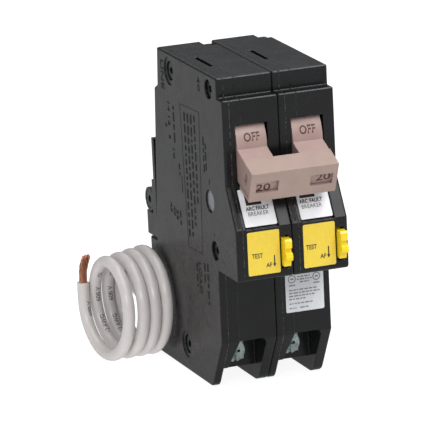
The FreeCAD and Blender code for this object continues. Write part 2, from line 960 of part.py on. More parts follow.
def contact_arm(side):
    """Blade on its pin, in the arm's own frame with the blade along +z."""
    name = side + "_contact_arm"
    body = new_body(name)
    pad(
        body,
        name + "_blade",
        "yz",
        "arm_x",
        "arm_t",
        [
            ("-arm_half - 0.6", "0"),
            ("arm_half + 0.6", "0"),
            ("arm_half", "contact_at - 4"),
            ("arm_half", "arm_len"),
            ("-arm_half + 0.8", "arm_len"),
        ],
    )
    hub = rod(name + "_hub", "x", "hub_rad", "arm_x", "arm_t")
    pin = rod(
        name + "_pin",
        "x",
        "arm_pin_rad",
        f"{CASE_X} - partition_t + 0.1",
        f"arm_x + arm_t + 2.3 - {CASE_X} + partition_t",
    )
    blade = fuse(name + "_solid", [body, hub, pin])
    place(blade, name, side, y="arm_y", z="arm_z", tilt="-arm_tilt")
    tip = rod(
        side + "_moving_contact_pad",
        "y",
        "contact_rad",
        "arm_half",
        "contact_t",
        x="arm_x + arm_t / 2",
        z="contact_at",
    )
    put_in_frame(tip, side + "_moving_contact", side, "-arm_tilt")
    spring = cut(
        side + "_toggle_spring_coil",
        rod(
            side + "_spring_outer",
            "z",
            "spring_rad",
            "-hub_rad - 1 - spring_len",
            "spring_len",
            x="arm_x + arm_t / 2",
        ),
        [
            rod(
                side + "_spring_inner",
                "z",
                "spring_bore",
                "-hub_rad - 2 - spring_len",
                "spring_len + 2",
                x="arm_x + arm_t / 2",
            )
        ],
    )
    place(spring, side + "_toggle_spring", side, y="arm_y", z="arm_z", tilt="-arm_tilt")


def put_in_frame(item, node, side, tilt):
    """A primitive that keeps its own position inside the arm's frame."""
    place(group(node + "_held", [item]), node, side, y="arm_y", z="arm_z", tilt=tilt)


def line_terminal(side):
    """Fixed contact on its strap, and the jaws that grip the bus stab."""
    strap_face = "(arm_half + contact_t + contact_gap + contact_t)"
    centre_x = "(arm_x + arm_t / 2)"
    pad_low = "(arm_half + contact_t + contact_gap)"
    button = rod(side + "_fixed_pad", "y", "contact_rad", pad_low, "contact_t", x=centre_x, z="contact_at")
    put_in_frame(button, side + "_fixed_contact", side, "-(arm_tilt + arm_throw)")

    name = side + "_line_jaws"
    plate = block(
        name + "_plate",
        (f"{centre_x} - contact_rad", f"{centre_x} + contact_rad"),
        (strap_face, f"{strap_face} + line_strap_t"),
        ("contact_at - 3.2", "contact_at + 5.4"),
    )
    held = group(name + "_plate_held", [plate])
    held.Placement = Placement(Vector(), Rotation(Vector(1, 0, 0), 1))
    link(held, "Placement.Rotation.Angle", "-(arm_tilt + arm_throw)")
    link(held, "Placement.Base.y", "arm_y")
    link(held, "Placement.Base.z", "arm_z")
    end = "(jaw_x + jaw_w)"
    top = "(jaw_z + jaw_h)"
    back = "(jaw_y + jaw_len)"
    pieces = [
        held,
        block(name + "_web", ("jaw_x", end), ("jaw_y", "jaw_y + 1.4"), ("jaw_z", f"{top} + 5")),
        block(name + "_leaf0", ("jaw_x", "jaw_x + jaw_t"), ("jaw_y", back), ("jaw_z", top)),
        block(name + "_leaf1", (f"{end} - jaw_t", end), ("jaw_y", back), ("jaw_z", top)),
    ]
    for i, x in enumerate(("jaw_x + jaw_t", f"{end} - jaw_t")):
        pieces.append(
            rod(f"{name}_bead{i}", "z", "jaw_bead_rad", "jaw_z", "jaw_h", x=x, y=f"{back} - jaw_bead_back")
        )
    place(fuse(name + "_metal", pieces), name, side)


def jaw_clips():
    """Steel springs that hold the jaws shut."""
    ceiling = "(jaw_z + jaw_h + clip_fit)"
    clip_y = ("jaw_y + 2.4", "jaw_y + jaw_len - 2")
    clip_z = ("jaw_z + 2", f"{ceiling} + clip_t")
    clips = []
    for shift in ("0", "pole_w"):
        name = f"jaw_clip_{len(clips)}"
        low = f"({shift} + jaw_x - clip_fit - clip_t)"
        high = f"({shift} + jaw_x + jaw_w + clip_fit + clip_t)"
        sides = [
            block(name + "_side0", (low, f"{low} + clip_t"), clip_y, clip_z),
            block(name + "_side1", (f"{high} - clip_t", high), clip_y, clip_z),
            block(name + "_bridge", (low, high), clip_y, (ceiling, f"{ceiling} + clip_t")),
        ]
        clips.append(fuse(name, sides))
    place(group("jaw_clip_set", clips), "jaw_clips", "left")


def arc_plates(side):
    name = side + "_arc_plates"
    plates = []
    for i in range(5):
        z = f"(arc_z + {i} * arc_pitch)"
        sheet_metal = block(
            f"{name}_{i}", ("arc_x", "arc_x + arc_w"), ("arc_y", "arc_y + arc_len"), (z, f"{z} + arc_t")
        )
        mouth = block(
            f"{name}_mouth{i}",
            ("arm_x - 0.6", "arm_x + arm_t + 0.6"),
            ("arc_y + 5", "arc_y + arc_len + 1"),
            (f"{z} - 1", f"{z} + 2"),
        )
        plates.append(cut(f"{name}_cut{i}", sheet_metal, [mouth]))
    place(group(name + "_stack", plates), name, side)


def cradle(side):
    """Trip lever on its pin: one end holds the toggle spring, the other rests at the armature."""
    name = side + "_cradle"
    body = new_body(name)
    pad(
        body,
        name + "_plate",
        "yz",
        "cradle_x",
        "cradle_t",
        [
            ("-16.5", "-6"),
            ("-14", "-7"),
            ("-6", "-3.4"),
            ("3", "-3.4"),
            ("17", "-6.8"),
            ("19.4", "-6.2"),
            ("19.4", "-3.6"),
            ("5", "3.2"),
            ("-4", "3.2"),
            ("-16.5", "-3.4"),
        ],
    )
    pin_start = f"{CASE_X} - partition_t + 0.1"
    pin = rod(name + "_pin", "x", "arm_pin_rad", pin_start, f"arm_x + arm_t + 2.3 - {CASE_X} + partition_t")
    place(fuse(name + "_solid", [body, pin]), name, side, y="cradle_y", z="cradle_z")


def trip_unit(side):
    name = side + "_armature"
    end = "(armature_x + armature_w)"
    pin = rod(
        name + "_pin",
        "x",
        "armature_pin_rad",
        f"{CASE_X} - partition_t + 0.1",
        f"{end} + 1.3 - {CASE_X} + partition_t",
    )
    plate = block(
        name + "_plate", ("armature_x", end), ("-armature_t / 2", "armature_t / 2"), ("-armature_len", "0")
    )
    place(fuse(name + "_solid", [plate, pin]), name, side, y="armature_y", z="armature_z")

    name = side + "_magnet_yoke"
    end = "(yoke_x + yoke_w)"
    height = ("yoke_z", "yoke_z + yoke_h")
    back = "(yoke_y + yoke_d)"
    yoke = fuse(
        name + "_solid",
        [
            block(name + "_web", ("yoke_x", end), (f"{back} - yoke_t", back), height),
            block(name + "_leg0", ("yoke_x", "yoke_x + yoke_t"), ("yoke_y", back), height),
            block(name + "_leg1", (f"{end} - yoke_t", end), ("yoke_y", back), height),
        ],
    )
    place(yoke, name, side)

    strip = block(
        side + "_bimetal_strip",
        ("bimetal_x", "bimetal_x + bimetal_w"),
        ("bimetal_y", "bimetal_y + bimetal_t"),
        ("strap_z + strap_t", "strap_z + strap_t + bimetal_h"),
    )
    place(group(side + "_bimetal_held", [strip]), side + "_bimetal", side)


def load_terminal(side):
    name = side + "_load_strap"
    run_top = "(strap_z + strap_t)"
    pad_z = ("screw_z - clamp_drop", "recess_top_z - 0.2")
    pad_y = ("pad_y", "pad_y + strap_t")
    run_end = "(strap_x + strap_w)"
    metal = fuse(
        name + "_metal",
        [
            block(name + "_pad", ("clamp_x", "clamp_x + clamp_w"), pad_y, pad_z),
            block(name + "_riser", ("screw_x", "clamp_x + clamp_w"), pad_y, ("recess_top_z - 2", run_top)),
            block(name + "_bend", ("screw_x", run_end), ("pad_y", "recess_back + 3"), ("strap_z", run_top)),
            block(name + "_run", ("strap_x", run_end), ("pad_y", "strap_back"), ("strap_z", run_top)),
            block(
                name + "_foot",
                ("bimetal_x", "bimetal_x + bimetal_w"),
                ("strap_back - 4", "strap_back"),
                ("strap_z", run_top),
            ),
        ],
    )
    hole = rod(name + "_thread", "y", "screw_rad + screw_fit", "pad_y - 1", "4", x="screw_x", z="screw_z")
    place(cut(name + "_body", metal, [hole]), name, side)

    name = side + "_clamp_plate"
    plate = block(
        name + "_plate",
        ("clamp_x", "clamp_x + clamp_w"),
        ("clamp_y", "clamp_y + clamp_t"),
        ("screw_z - clamp_drop", "screw_z + clamp_w - clamp_drop"),
    )
    hole = rod(name + "_hole", "y", "screw_rad + 0.3", "clamp_y - 1", "4", x="screw_x", z="screw_z")
    place(cut(name + "_body", plate, [hole]), name, side)

    name = side + "_terminal_screw"
    head_y = "(clamp_y - 0.1 - screw_head_t)"
    head = rod(name + "_head", "y", "screw_head_rad", head_y, "screw_head_t")
    shank = rod(name + "_shank", "y", "screw_rad", f"{head_y} + 1", f"screw_end - {head_y} - 1")
    slots = []
    for i, (wide, tall) in enumerate(
        (("screw_slot_w", "2 * screw_head_rad + 1"), ("screw_head_rad * 1.1", "screw_slot_w"))
    ):
        slots.append(
            block(
                f"{name}_slot{i}",
                (f"-({wide}) / 2", f"({wide}) / 2"),
                (f"{head_y} - 1", f"{head_y} + screw_slot_d"),
                (f"-({tall}) / 2", f"({tall}) / 2"),
            )
        )
    screw = cut(name + "_body", fuse(name + "_solid", [head, shank]), slots)
    place(screw, name, side, x="screw_x", z="screw_z")


# ---------------------------------------------------------------- electronics and trip coil


def electronics(side):
    name = side + "_circuit_board"
    room = ("board_x", "board_x + board_t")
    board = block(name + "_plate", room, ("board_y", "board_y + board_w"), ("board_z", "board_z + board_h"))
    place(group(name + "_held", [board]), name, side)

    name = side + "_board_components"
    face = "(board_x - 0.02)"
    chips = []
    layout = (
        (3, 6, 8, 9, 1.5),
        (13, 8, 7, 7, 1.3),
        (4, 24, 5, 12, 1.8),
        (13, 24, 8, 5, 1.4),
        (3, 44, 9, 8, 1.7),
        (15, 42, 6, 14, 1.3),
    )
    for i, (y, z, deep, tall, thick) in enumerate(layout):
        chips.append(
            block(
                f"{name}_chip{i}",
                (f"{face} - {thick}", face),
                (f"board_y + {y}", f"board_y + {y + deep}"),
                (f"board_z + {z}", f"board_z + {z + tall}"),
            )
        )
    place(group(name + "_held", chips), name, side)

    centre_x = "(arm_x + arm_t / 2)"
    name = side + "_trip_coil"
    winding = rod(name + "_winding", "y", "coil_rad", "coil_y", "coil_len", x=centre_x, z="coil_z")
    bore = rod(
        name + "_bore",
        "y",
        "plunger_rad + plunger_fit",
        "coil_y - 1",
        "coil_len + 2",
        x=centre_x,
        z="coil_z",
    )
    place(cut(name + "_body", winding, [bore]), name, side)
    plunger = rod(
        side + "_plunger_rod",
        "y",
        "plunger_rad",
        "coil_y - plunger_tail",
        "plunger_tail + coil_len + plunger_reach",
        x=centre_x,
        z="coil_z",
    )
    place(group(side + "_plunger_held", [plunger]), side + "_trip_plunger", side)

    name = side + "_current_sensor"
    middle_x, middle_z = "(strap_x + strap_w / 2)", "(strap_z + strap_t / 2)"
    ring = rod(name + "_ring", "y", "ring_rad", "ring_y", "ring_len", x=middle_x, z=middle_z)
    hole = rod(name + "_hole", "y", "ring_bore", "ring_y - 1", "ring_len + 2", x=middle_x, z=middle_z)
    place(cut(name + "_body", ring, [hole]), name, side)


def trip_bar():
    """One shaft across both poles, with a paddle behind each plunger."""
    length = "(pole_w + arm_x + arm_t + 3 - trip_start)"
    pieces = [rod("trip_bar_shaft", "x", "trip_rad", "trip_start", length)]
    centre_x = "(arm_x + arm_t / 2)"
    for i, shift in enumerate(("0", "pole_w")):
        pieces.append(
            block(
                f"trip_bar_paddle{i}",
                (f"{shift} + {centre_x} - trip_paddle_w / 2", f"{shift} + {centre_x} + trip_paddle_w / 2"),
                ("-trip_rad", "-trip_rad + trip_paddle_t"),
                ("-trip_paddle_drop", "0"),
            )
        )
    place(fuse("trip_bar_solid", pieces), "trip_bar", "left", y="trip_y", z="trip_z")


# ---------------------------------------------------------------- test button, labels, seals


def test_button(side):
    name = side + "_test_button"
    face = "(-nose_reach - 0.1)"
    proud = f"({face} - button_proud)"
    body = new_body(name)
    pad(
        body,
        name + "_head",
        "yz",
        "button_x",
        "button_w",
        [
            (face, "button_z + button_h"),
            (f"{proud} + 1.2", "button_z + button_h"),
            (f"{proud} + 0.6", "button_z + button_h - 0.7"),
            (f"{proud} + 0.8", "button_z + button_h - 3"),
            (f"{proud} + 1.7", "button_z + button_h - 3.5"),
            (f"{proud} + 1.7", "button_z + button_h - 4.1"),
            (f"{proud} + 0.3", "button_z + button_h - 4.7"),
            (proud, "button_z + button_h - 5.9"),
            (f"{proud} + 0.4", "button_z + 2.2"),
            (f"{proud} + 1.9", "button_z + 1.8"),
            (f"{proud} + 2.3", "button_z"),
            (face, "button_z"),
        ],
    )
    stem = block(
        name + "_stem",
        ("button_x", "button_x + button_w"),
        (f"{face} - 0.1", "-nose_reach + wall + 1"),
        ("button_z + 0.8", "button_z + button_h - 1"),
    )
    flange = block(
        name + "_flange",
        ("button_x - 0.4", "button_x + button_w"),
        ("-nose_reach + wall + 0.2", "-nose_reach + wall + 0.2 + button_flange"),
        ("button_z + 0.3", "button_z + button_h + 0.2"),
    )
    place(fuse(name + "_solid", [body, stem, flange]), name, side)


def test_contacts():
    strips = []
    for shift in ("0", "pole_w"):
        strips.append(
            block(
                f"test_contact_{len(strips)}",
                (f"{shift} + button_x + 0.4", f"{shift} + button_x + button_w - 0.4"),
                ("-nose_reach + wall + button_flange + 0.6", "-nose_reach + wall + button_flange + 1.0"),
                ("button_z - 1", "button_z + button_h + 1"),
            )
        )
    place(group("test_contact_strips", strips), "test_contacts", "left")


def plate_with_round_corners(name, x, z, width, tall, y):
    """A label: a thin upright plate whose front face is at y - label_t."""
    body = new_body(name)
    right, top = f"({x} + {width})", f"({z} + {tall})"
    pad(body, name + "_sheet", "xz", f"-({y})", "label_t", [(x, z), (right, z), (right, top), (x, top)])
    round_edges(body, name + "_corners", "label_round", lambda e: abs(e.Length - value("label_t")) < 1e-6)
    return body


def labels():
    for kind in ("test", "name"):
        sheets = []
        for i, shift in enumerate(("0", "pole_w")):
            x = f"({shift} + label_x)"
            if kind == "test":
                sheets.append(
                    plate_with_round_corners(
                        f"test_label_{i}", x, "test_label_z", "label_w", "test_label_h", "-nose_reach"
                    )
                )
            else:
                flat = plate_with_round_corners(
                    f"name_label_{i}", x, "1", "label_w", "name_label_h", "label_recess"
                )
                leaning = group(f"name_label_held{i}", [flat])
                lean_onto_slant(leaning)
                sheets.append(leaning)
        place(group(kind + "_labels_held", sheets), kind + "_labels", "left")
    rating = plate_with_round_corners(
        "rating_plate", "rating_x", "rating_z", "rating_w", "rating_h", "chin_depth"
    )
    place(group("rating_label_held", [rating]), "rating_label", "right")


def seals():
    discs = []
    for i, shift in enumerate(("0", "pole_w")):
        discs.append(
            rod(
                f"seal_{i}",
                "x",
                "seal_hole_rad - seal_fit",
                f"{shift} + sink_d - seal_t",
                "seal_t",
                y="seal_y",
                z="seal_z",
            )
        )
    place(group("seal_discs", discs), "calibration_seals", "left")


def rivets():
    """Hollow rivets through both poles, and the one at the rear boss."""
    made = []
    width = "(2 * pole_w - pole_gap)"
    spots = [(f"{r}_y", f"{r}_z", "sink_d") for r in RIVETS]
    spots.append(("boss_depth", "boss_z", "flange_x + rear_sink_d"))
    for i, (y, z, sink) in enumerate(spots):
        low = f"({sink} - rivet_head_t)"
        high = f"({width} - rear_sink_d)"
        shank = rod(f"rivet_{i}_shank", "x", "rivet_rad", low, f"{high} + rivet_head_t - {low}", y=y, z=z)
        head = rod(f"rivet_{i}_head", "x", "rivet_head_rad", low, "rivet_head_t", y=y, z=z)
        tail = rod(f"rivet_{i}_tail", "x", "rivet_head_rad", high, "rivet_head_t", y=y, z=z)
        bore = rod(f"rivet_{i}_bore", "x", "rivet_bore", f"{low} - 1", f"{width} + 2", y=y, z=z)
        made.append(cut(f"rivet_{i}", fuse(f"rivet_{i}_solid", [shank, head, tail]), [bore]))
    place(group("rivet_set", made), "rivets", "left")


# ---------------------------------------------------------------- pigtail

# Routes of the wire where it isn't coiled: from the case's bushing to the coil, and from the
# coil to the stripped end. X is counted from the left pole's outer face, so that the wire goes
# with that face. Y and Z are the row's.
LEAD_ROUTE = [
    (6.1, 43.9, 12.0),
    (6.05, 47.0, 12.0),
    (4.25, 51.8, 12.0),
    (0.95, 55.2, 14.7),
    (-2.35, 55.8, 19.5),
]
FREE_ROUTE = [
    (-19.85, 41.0, 2.9),
    (-20.65, 45.8, 6.3),
    (-21.15, 49.2, 11.2),
    (-21.35, 50.7, 17.0),
    (-21.15, 50.8, 23.2),
]
COIL_END = (-2.2, 37.3)


def bent_tube(name, points, rad):
    """Straight runs joined by tangent arcs, each arc as large as its two runs allow."""
    spots = [Vector(*p) for p in points]
    edges = []
    start = spots[0]
    for before, corner, after in zip(spots, spots[1:], spots[2:]):
        into = (corner - before).normalize()
        out = (after - corner).normalize()
        half_turn = into.getAngle(out) / 2
        reach = 0.45 * min((corner - before).Length, (after - corner).Length)
        bend = reach / math.tan(half_turn)
        print(f"{name}: bend radius {bend:.1f} mm")
        first, last = corner - into * reach, corner + out * reach
        inward = (out - into).normalize()
        middle = corner + inward * (bend / math.cos(half_turn) - bend)
        edges += [Part.LineSegment(start, first).toShape(), Part.Arc(first, middle, last).toShape()]
        start = last
    edges.append(Part.LineSegment(start, spots[-1]).toShape())
    path = Part.Wire(edges)
    section = Part.Wire(Part.Circle(spots[0], (spots[1] - spots[0]), rad).toShape())
    tube = path.makePipeShell([section], True, False)
    expected = math.pi * rad * rad * path.Length
    if abs(tube.Volume - expected) > 0.02 * expected:
        raise RuntimeError(f"{name} has volume {tube.Volume:.1f}, not {expected:.1f}")
    print(f"{name}: length {path.Length:.1f} mm")
    return tube


def add_shape(node, shape):
    """A sub-part whose X is counted from the left pole's outer face."""
    item = doc.addObject("Part::Feature", node)
    item.Shape = shape
    item.Placement = Placement()
    link(item, "Placement.Base.x", "-pole_w")
    item.Label = node
    SUBPARTS.append(item)


def pigtail():
    add_shape("pigtail_lead", bent_tube("pigtail_lead", LEAD_ROUTE, value("wire_rad")))
    add_shape("pigtail_end", bent_tube("pigtail_end", FREE_ROUTE, value("wire_rad")))

    outer = doc.addObject("Part::Cylinder", "pigtail_outer")
    inner = doc.addObject("Part::Cylinder", "pigtail_inner")
    for tube, rad in ((outer, "turn_rad + wire_rad"), (inner, "turn_rad - wire_rad")):
        link(tube, "Radius", rad)
        link(tube, "Height", "(turns - 1) * turn_pitch + 2 * wire_rad")
    coil = cut("pigtail_turns", outer, [inner])
    coil.Label = "pigtail_coil"
    away = Vector(
        -math.cos(math.radians(value("pigtail_turn"))), -math.sin(math.radians(value("pigtail_turn"))), 0
    )
    coil.Placement = Placement(Vector(COIL_END[0], COIL_END[1], 0), Rotation(Vector(0, 0, 1), away))
    link(coil, "Placement.Base.x", f"{COIL_END[0]} - pole_w")
    link(coil, "Placement.Base.z", "turn_rad + wire_rad + 0.05")
    SUBPARTS.append(coil)

    last, before = Vector(*FREE_ROUTE[-1]), Vector(*FREE_ROUTE[-2])
    strands = doc.addObject("Part::Cylinder", "stripped_end")
    link(strands, "Radius", "copper_rad")
    link(strands, "Height", "copper_len")
    strands.Placement = Placement(last, Rotation(Vector(0, 0, 1), last - before))
    link(strands, "Placement.Base.x", f"{last.x} - pole_w")
    strands.Label = "copper_strands"
    SUBPARTS.append(strands)

    name = "pigtail_bushing"
    inner_end = "hip_depth - 7.5"
    outer_end = "(foot_depth + bushing_out)"
    sleeve = rod(
        name + "_sleeve",
        "y",
        "bushing_rad - 0.02",
        inner_end,
        f"{outer_end} - ({inner_end})",
        x="bushing_x",
        z="bushing_z",
    )
    collar = rod(
        name + "_collar",
        "y",
        "bushing_rad + 0.9",
        "foot_depth",
        "bushing_out",
        x="bushing_x",
        z="bushing_z",
    )
    hole = rod(
        name + "_hole", "y", "wire_rad + 0.05", f"{inner_end} - 1", "30", x="bushing_x", z="bushing_z"
    )
    place(cut(name + "_body", fuse(name + "_solid", [sleeve, collar]), [hole]), name, "left")


# ---------------------------------------------------------------- build, check, write

for side in SIDES:
    cover(side)
    middle_frame(side)
    main_case(side)
    handle(side)
    contact_arm(side)
    line_terminal(side)
    arc_plates(side)
    cradle(side)
    trip_unit(side)
    load_terminal(side)
    electronics(side)
    test_button(side)
tie_bar()
trip_bar()
jaw_clips()
test_contacts()
labels()
seals()
rivets()
pigtail()
doc.recompute()

for item in doc.Objects:
    if "Invalid" in item.State or "Error" in item.State:
        raise RuntimeError(f"{item.Label} failed: {item.State}")
for item in SUBPARTS:
    if item.Shape.isNull() or not item.Shape.isValid():
        raise RuntimeError(f"{item.Label} has no valid shape")
    if not item.Shape.Solids:
        raise RuntimeError(f"{item.Label} holds no solid")

os.makedirs("parts", exist_ok=True)
for item in SUBPARTS:
    item.Shape.exportStep(f"parts/{item.Label}.step")
print(f"{len(SUBPARTS)} sub-parts written")
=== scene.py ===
# %% [markdown]
# # A two-pole circuit breaker with a coiled pigtail
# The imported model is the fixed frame: every housing, lever and screw already lies in its place.
# This lesson adds what a solid model can't say, which is how each surface is finished, what is
# printed or moulded on it, and how the wire, springs and windings really run.
# Sizes are metres; +X is to the right, -Y is the front and +Z is up.

# %% Load the frame
import math

import bmesh
import bpy
import numpy as np
from mathutils import Matrix, Vector


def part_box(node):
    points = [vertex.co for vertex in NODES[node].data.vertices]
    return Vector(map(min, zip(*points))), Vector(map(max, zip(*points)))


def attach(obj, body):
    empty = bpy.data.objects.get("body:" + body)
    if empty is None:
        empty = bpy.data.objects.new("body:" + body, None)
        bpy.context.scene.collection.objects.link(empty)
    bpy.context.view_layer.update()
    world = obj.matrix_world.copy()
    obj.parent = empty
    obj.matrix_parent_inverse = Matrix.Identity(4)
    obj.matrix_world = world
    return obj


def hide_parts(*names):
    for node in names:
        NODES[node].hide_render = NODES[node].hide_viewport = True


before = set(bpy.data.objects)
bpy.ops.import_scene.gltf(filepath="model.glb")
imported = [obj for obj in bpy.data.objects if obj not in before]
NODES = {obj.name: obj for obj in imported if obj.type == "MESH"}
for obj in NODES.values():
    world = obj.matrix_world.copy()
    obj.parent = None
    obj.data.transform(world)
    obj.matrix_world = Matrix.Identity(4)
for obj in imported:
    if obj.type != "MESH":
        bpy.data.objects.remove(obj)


bpy.context.view_layer.update()
MM = 0.001
SIDES = ("left", "right")

# %% [markdown]
# ## Camera
# A long lens from far away keeps the housing's edges almost parallel, as in a catalogue picture.
# The camera stands to the left of the handles and a little above them. Its three axes are worked
# out from turn, height and roll angles, because a matrix says exactly where each axis points.

# %% Place the camera
CAMERA_SPOT = (-0.57057, -1.50698, 0.47118)
CAMERA_TURN, CAMERA_HEIGHT, CAMERA_ROLL = (math.radians(v) for v in (20.363, 14.553, -2.739))


def camera_axes(turn, height, roll):
    """Right, up and back axes: back points from the object to the camera, right is level unrolled."""
    back = Vector((
        -math.sin(turn) * math.cos(height),
        -math.cos(turn) * math.cos(height),
        math.sin(height),
    ))
    right = (-back).cross(Vector((0, 0, 1))).normalized()
    up = right.cross(-back)
    c, s = math.cos(roll), math.sin(roll)
    return c * right + s * up, -s * right + c * up, back


camera_data = bpy.data.cameras.new("camera")
camera_data.sensor_width = 36.0
camera_data.lens = 429.4
camera_data.clip_start = 0.05
camera_data.clip_end = 30.0
camera = bpy.data.objects.new("camera", camera_data)
bpy.context.scene.collection.objects.link(camera)
axes = Matrix(camera_axes(CAMERA_TURN, CAMERA_HEIGHT, CAMERA_ROLL)).transposed().to_4x4()
camera.matrix_world = Matrix.Translation(CAMERA_SPOT) @ axes
bpy.context.scene.camera = camera
print("camera looks along", [round(v, 3) for v in -axes.col[2].xyz])

# %% [markdown]
# ## The pigtail
# The pigtail is a stiff 12 AWG wire in white insulation, coiled four times at the factory so that
# it fits its box. It could be a bent tube, but a tube's arcs look like bent pipe. One NURBS spline
# through the lead, the turns and the free end bends as wire does. The turns are control points of
# the same spline, a little outside the true circle, because the spline cuts inside its corners.

# %% Route of the wire
WIRE_DIAMETER = 4.1 * MM
LEAD_POINTS = [
    (-12.95, 43.75, 12.0),
    (-13.0, 47.0, 12.0),
    (-14.8, 51.8, 12.0),
    (-18.1, 55.2, 14.7),
    (-21.4, 55.8, 19.5),
]
FREE_POINTS = [
    (-38.9, 41.0, 2.9),
    (-39.7, 45.8, 6.3),
    (-40.2, 49.2, 11.2),
    (-40.4, 50.7, 17.0),
    (-40.2, 50.8, 23.2),
]
COIL_TURN = math.radians(6.0)
COIL_AXIS = Vector((-math.cos(COIL_TURN), -math.sin(COIL_TURN), 0.0))
COIL_REAR = Vector((-math.sin(COIL_TURN), math.cos(COIL_TURN), 0.0))
COIL_START = Vector((-21.25, 37.3, 0.0))
FIRST_RADIUS, LAST_RADIUS = 16.2, 15.2
TIGHT_PITCH, OPEN_PITCH, OPEN_FROM = 4.2, 5.3, 2.5
FIRST_TOUCH = 2.1
STEPS_PER_TURN = 16
LAST_STEP = 60


def coil_points():
    """Control points of a helix that starts at the rear, goes over the top and leaves the housing.

    The distance along the axis grows by one pitch a turn, and faster in the last, looser turns. The
    radius shrinks evenly, and every turn rests on the floor. It is enlarged by the share that a
    quadratic spline loses in the middle of each side of its polygon.
    """
    step = 2 * math.pi / STEPS_PER_TURN
    for count in range(1, LAST_STEP + 1):
        turns = count / STEPS_PER_TURN
        radius = FIRST_RADIUS + (LAST_RADIUS - FIRST_RADIUS) * count / LAST_STEP
        along = FIRST_TOUCH + TIGHT_PITCH * (min(turns, OPEN_FROM) - 0.5)
        along += OPEN_PITCH * max(0.0, turns - OPEN_FROM)
        height = radius + WIRE_DIAMETER / MM / 2 + 0.06
        reach = radius / math.cos(step / 2)
        yield (
            COIL_START
            + along * COIL_AXIS
            + reach * math.cos(count * step) * COIL_REAR
            + Vector((0, 0, height + reach * math.sin(count * step)))
        )


ROUTE = [Vector(p) * MM for p in LEAD_POINTS]
ROUTE += [p * MM for p in coil_points()]
ROUTE += [Vector(p) * MM for p in FREE_POINTS]
print(len(ROUTE), "control points")

# %% Wire along the route


def spline_curve(name, points, radius):
    """A smooth open quadratic NURBS curve through the control points, with a round section."""
    data = bpy.data.curves.new(name, "CURVE")
    data.dimensions = "3D"
    spline = data.splines.new("NURBS")
    spline.points.add(len(points) - 1)
    for spot, point in zip(spline.points, points):
        spot.co = (*point, 1.0)
    spline.order_u = 3
    spline.use_endpoint_u = True
    data.resolution_u = 6
    data.render_resolution_u = 6
    data.bevel_depth = radius
    data.bevel_resolution = 6
    data.use_fill_caps = True
    piece = bpy.data.objects.new(name, data)
    bpy.context.scene.collection.objects.link(piece)
    return piece


def path_points(points):
    """Points read along the same spline, made once more without a section."""
    guide = spline_curve("guide", points, 0.0)
    bpy.context.view_layer.update()
    mesh = bpy.data.meshes.new_from_object(guide)
    line = np.empty(len(mesh.vertices) * 3)
    mesh.vertices.foreach_get("co", line)
    bpy.data.objects.remove(guide)
    bpy.data.meshes.remove(mesh)
    return line.reshape(-1, 3)


def length_of(line):
    """Length along a line of points."""
    return float(np.linalg.norm(np.diff(line, axis=0), axis=1).sum())


def curve_to_piece(name, holder):
    """A mesh piece made from a curve, which is then removed."""
    bpy.context.view_layer.update()
    mesh = bpy.data.meshes.new_from_object(holder)
    mesh.polygons.foreach_set("use_smooth", [True] * len(mesh.polygons))
    bpy.data.objects.remove(holder)
    piece = bpy.data.objects.new(name, mesh)
    bpy.context.scene.collection.objects.link(piece)
    return piece


wire = curve_to_piece("pigtail_wire", spline_curve("wire_route", ROUTE, WIRE_DIAMETER / 2))
wire_line = path_points(ROUTE)
WIRE_LENGTH = length_of(wire_line)
print("wire is", round(WIRE_LENGTH * 1000, 1), "mm long")

# %% [markdown]
# ## Bare strands
# The last 9.6 mm of the wire are stripped, and twenty copper strands show, twisted together and
# frayed at the tip. Each strand is a thin tube carried along its own path: a slow helix round the
# wire's line, which opens and leans as it nears the tip.

# %% Tubes carried along paths


def mesh_piece(name, points, faces, smooth=True):
    """A new object at the origin from an array of points and a list of faces."""
    mesh = bpy.data.meshes.new(name)
    mesh.from_pydata(np.asarray(points, dtype=float).tolist(), [], faces)
    mesh.polygons.foreach_set("use_smooth", [smooth] * len(mesh.polygons))
    mesh.update()
    piece = bpy.data.objects.new(name, mesh)
    bpy.context.scene.collection.objects.link(piece)
    return piece


def tube(path, radius, sides=8):
    """Points and faces of a tube with closed ends.

    Each ring is the path's point plus radius times the cosine and sine of the angle along two
    directions square to the path; a fixed reference direction keeps the rings from twisting.
    """
    path = np.asarray(path, dtype=float)
    ahead = np.gradient(path, axis=0)
    ahead /= np.linalg.norm(ahead, axis=1)[:, None]
    reference = np.eye(3)[int(np.argmin(np.abs(ahead).max(axis=0)))]
    across = np.cross(ahead, reference)
    across /= np.linalg.norm(across, axis=1)[:, None]
    third = np.cross(ahead, across)
    angle = np.linspace(0, 2 * np.pi, sides, endpoint=False)
    rings = (
        path[:, None, :]
        + radius * np.cos(angle)[None, :, None] * across[:, None, :]
        + radius * np.sin(angle)[None, :, None] * third[:, None, :]
    )
    count = len(path)
    faces = []
    for ring in range(count - 1):
        for side in range(sides):
            after = (side + 1) % sides
            low, high = ring * sides, (ring + 1) * sides
            faces.append((low + side, high + side, high + after, low + after))
    faces.append(tuple(range(sides)))
    faces.append(tuple((count - 1) * sides + side for side in reversed(range(sides))))
    return rings.reshape(-1, 3), faces


def join(parts):
    """Points and faces of several shapes as one mesh."""
    points, faces, base = [], [], 0
    for some_points, some_faces in parts:
        points.append(np.asarray(some_points, dtype=float))
        faces += [tuple(base + v for v in face) for face in some_faces]
        base += len(some_points)
    return np.vstack(points), faces


print("tube of 2 rings has", len(tube([(0, 0, 0), (0, 0, 1)], 0.1)[1]), "faces")

# %% Copper strands
STRIPPED = 9.6 * MM
STRAND_RADIUS = 0.24 * MM
STRAND_RINGS = ((0.0, 1), (0.55 * MM, 6), (1.12 * MM, 13))
LAY_ANGLE = 5.2
STRAND_POINTS = 22
dice = np.random.default_rng(7)


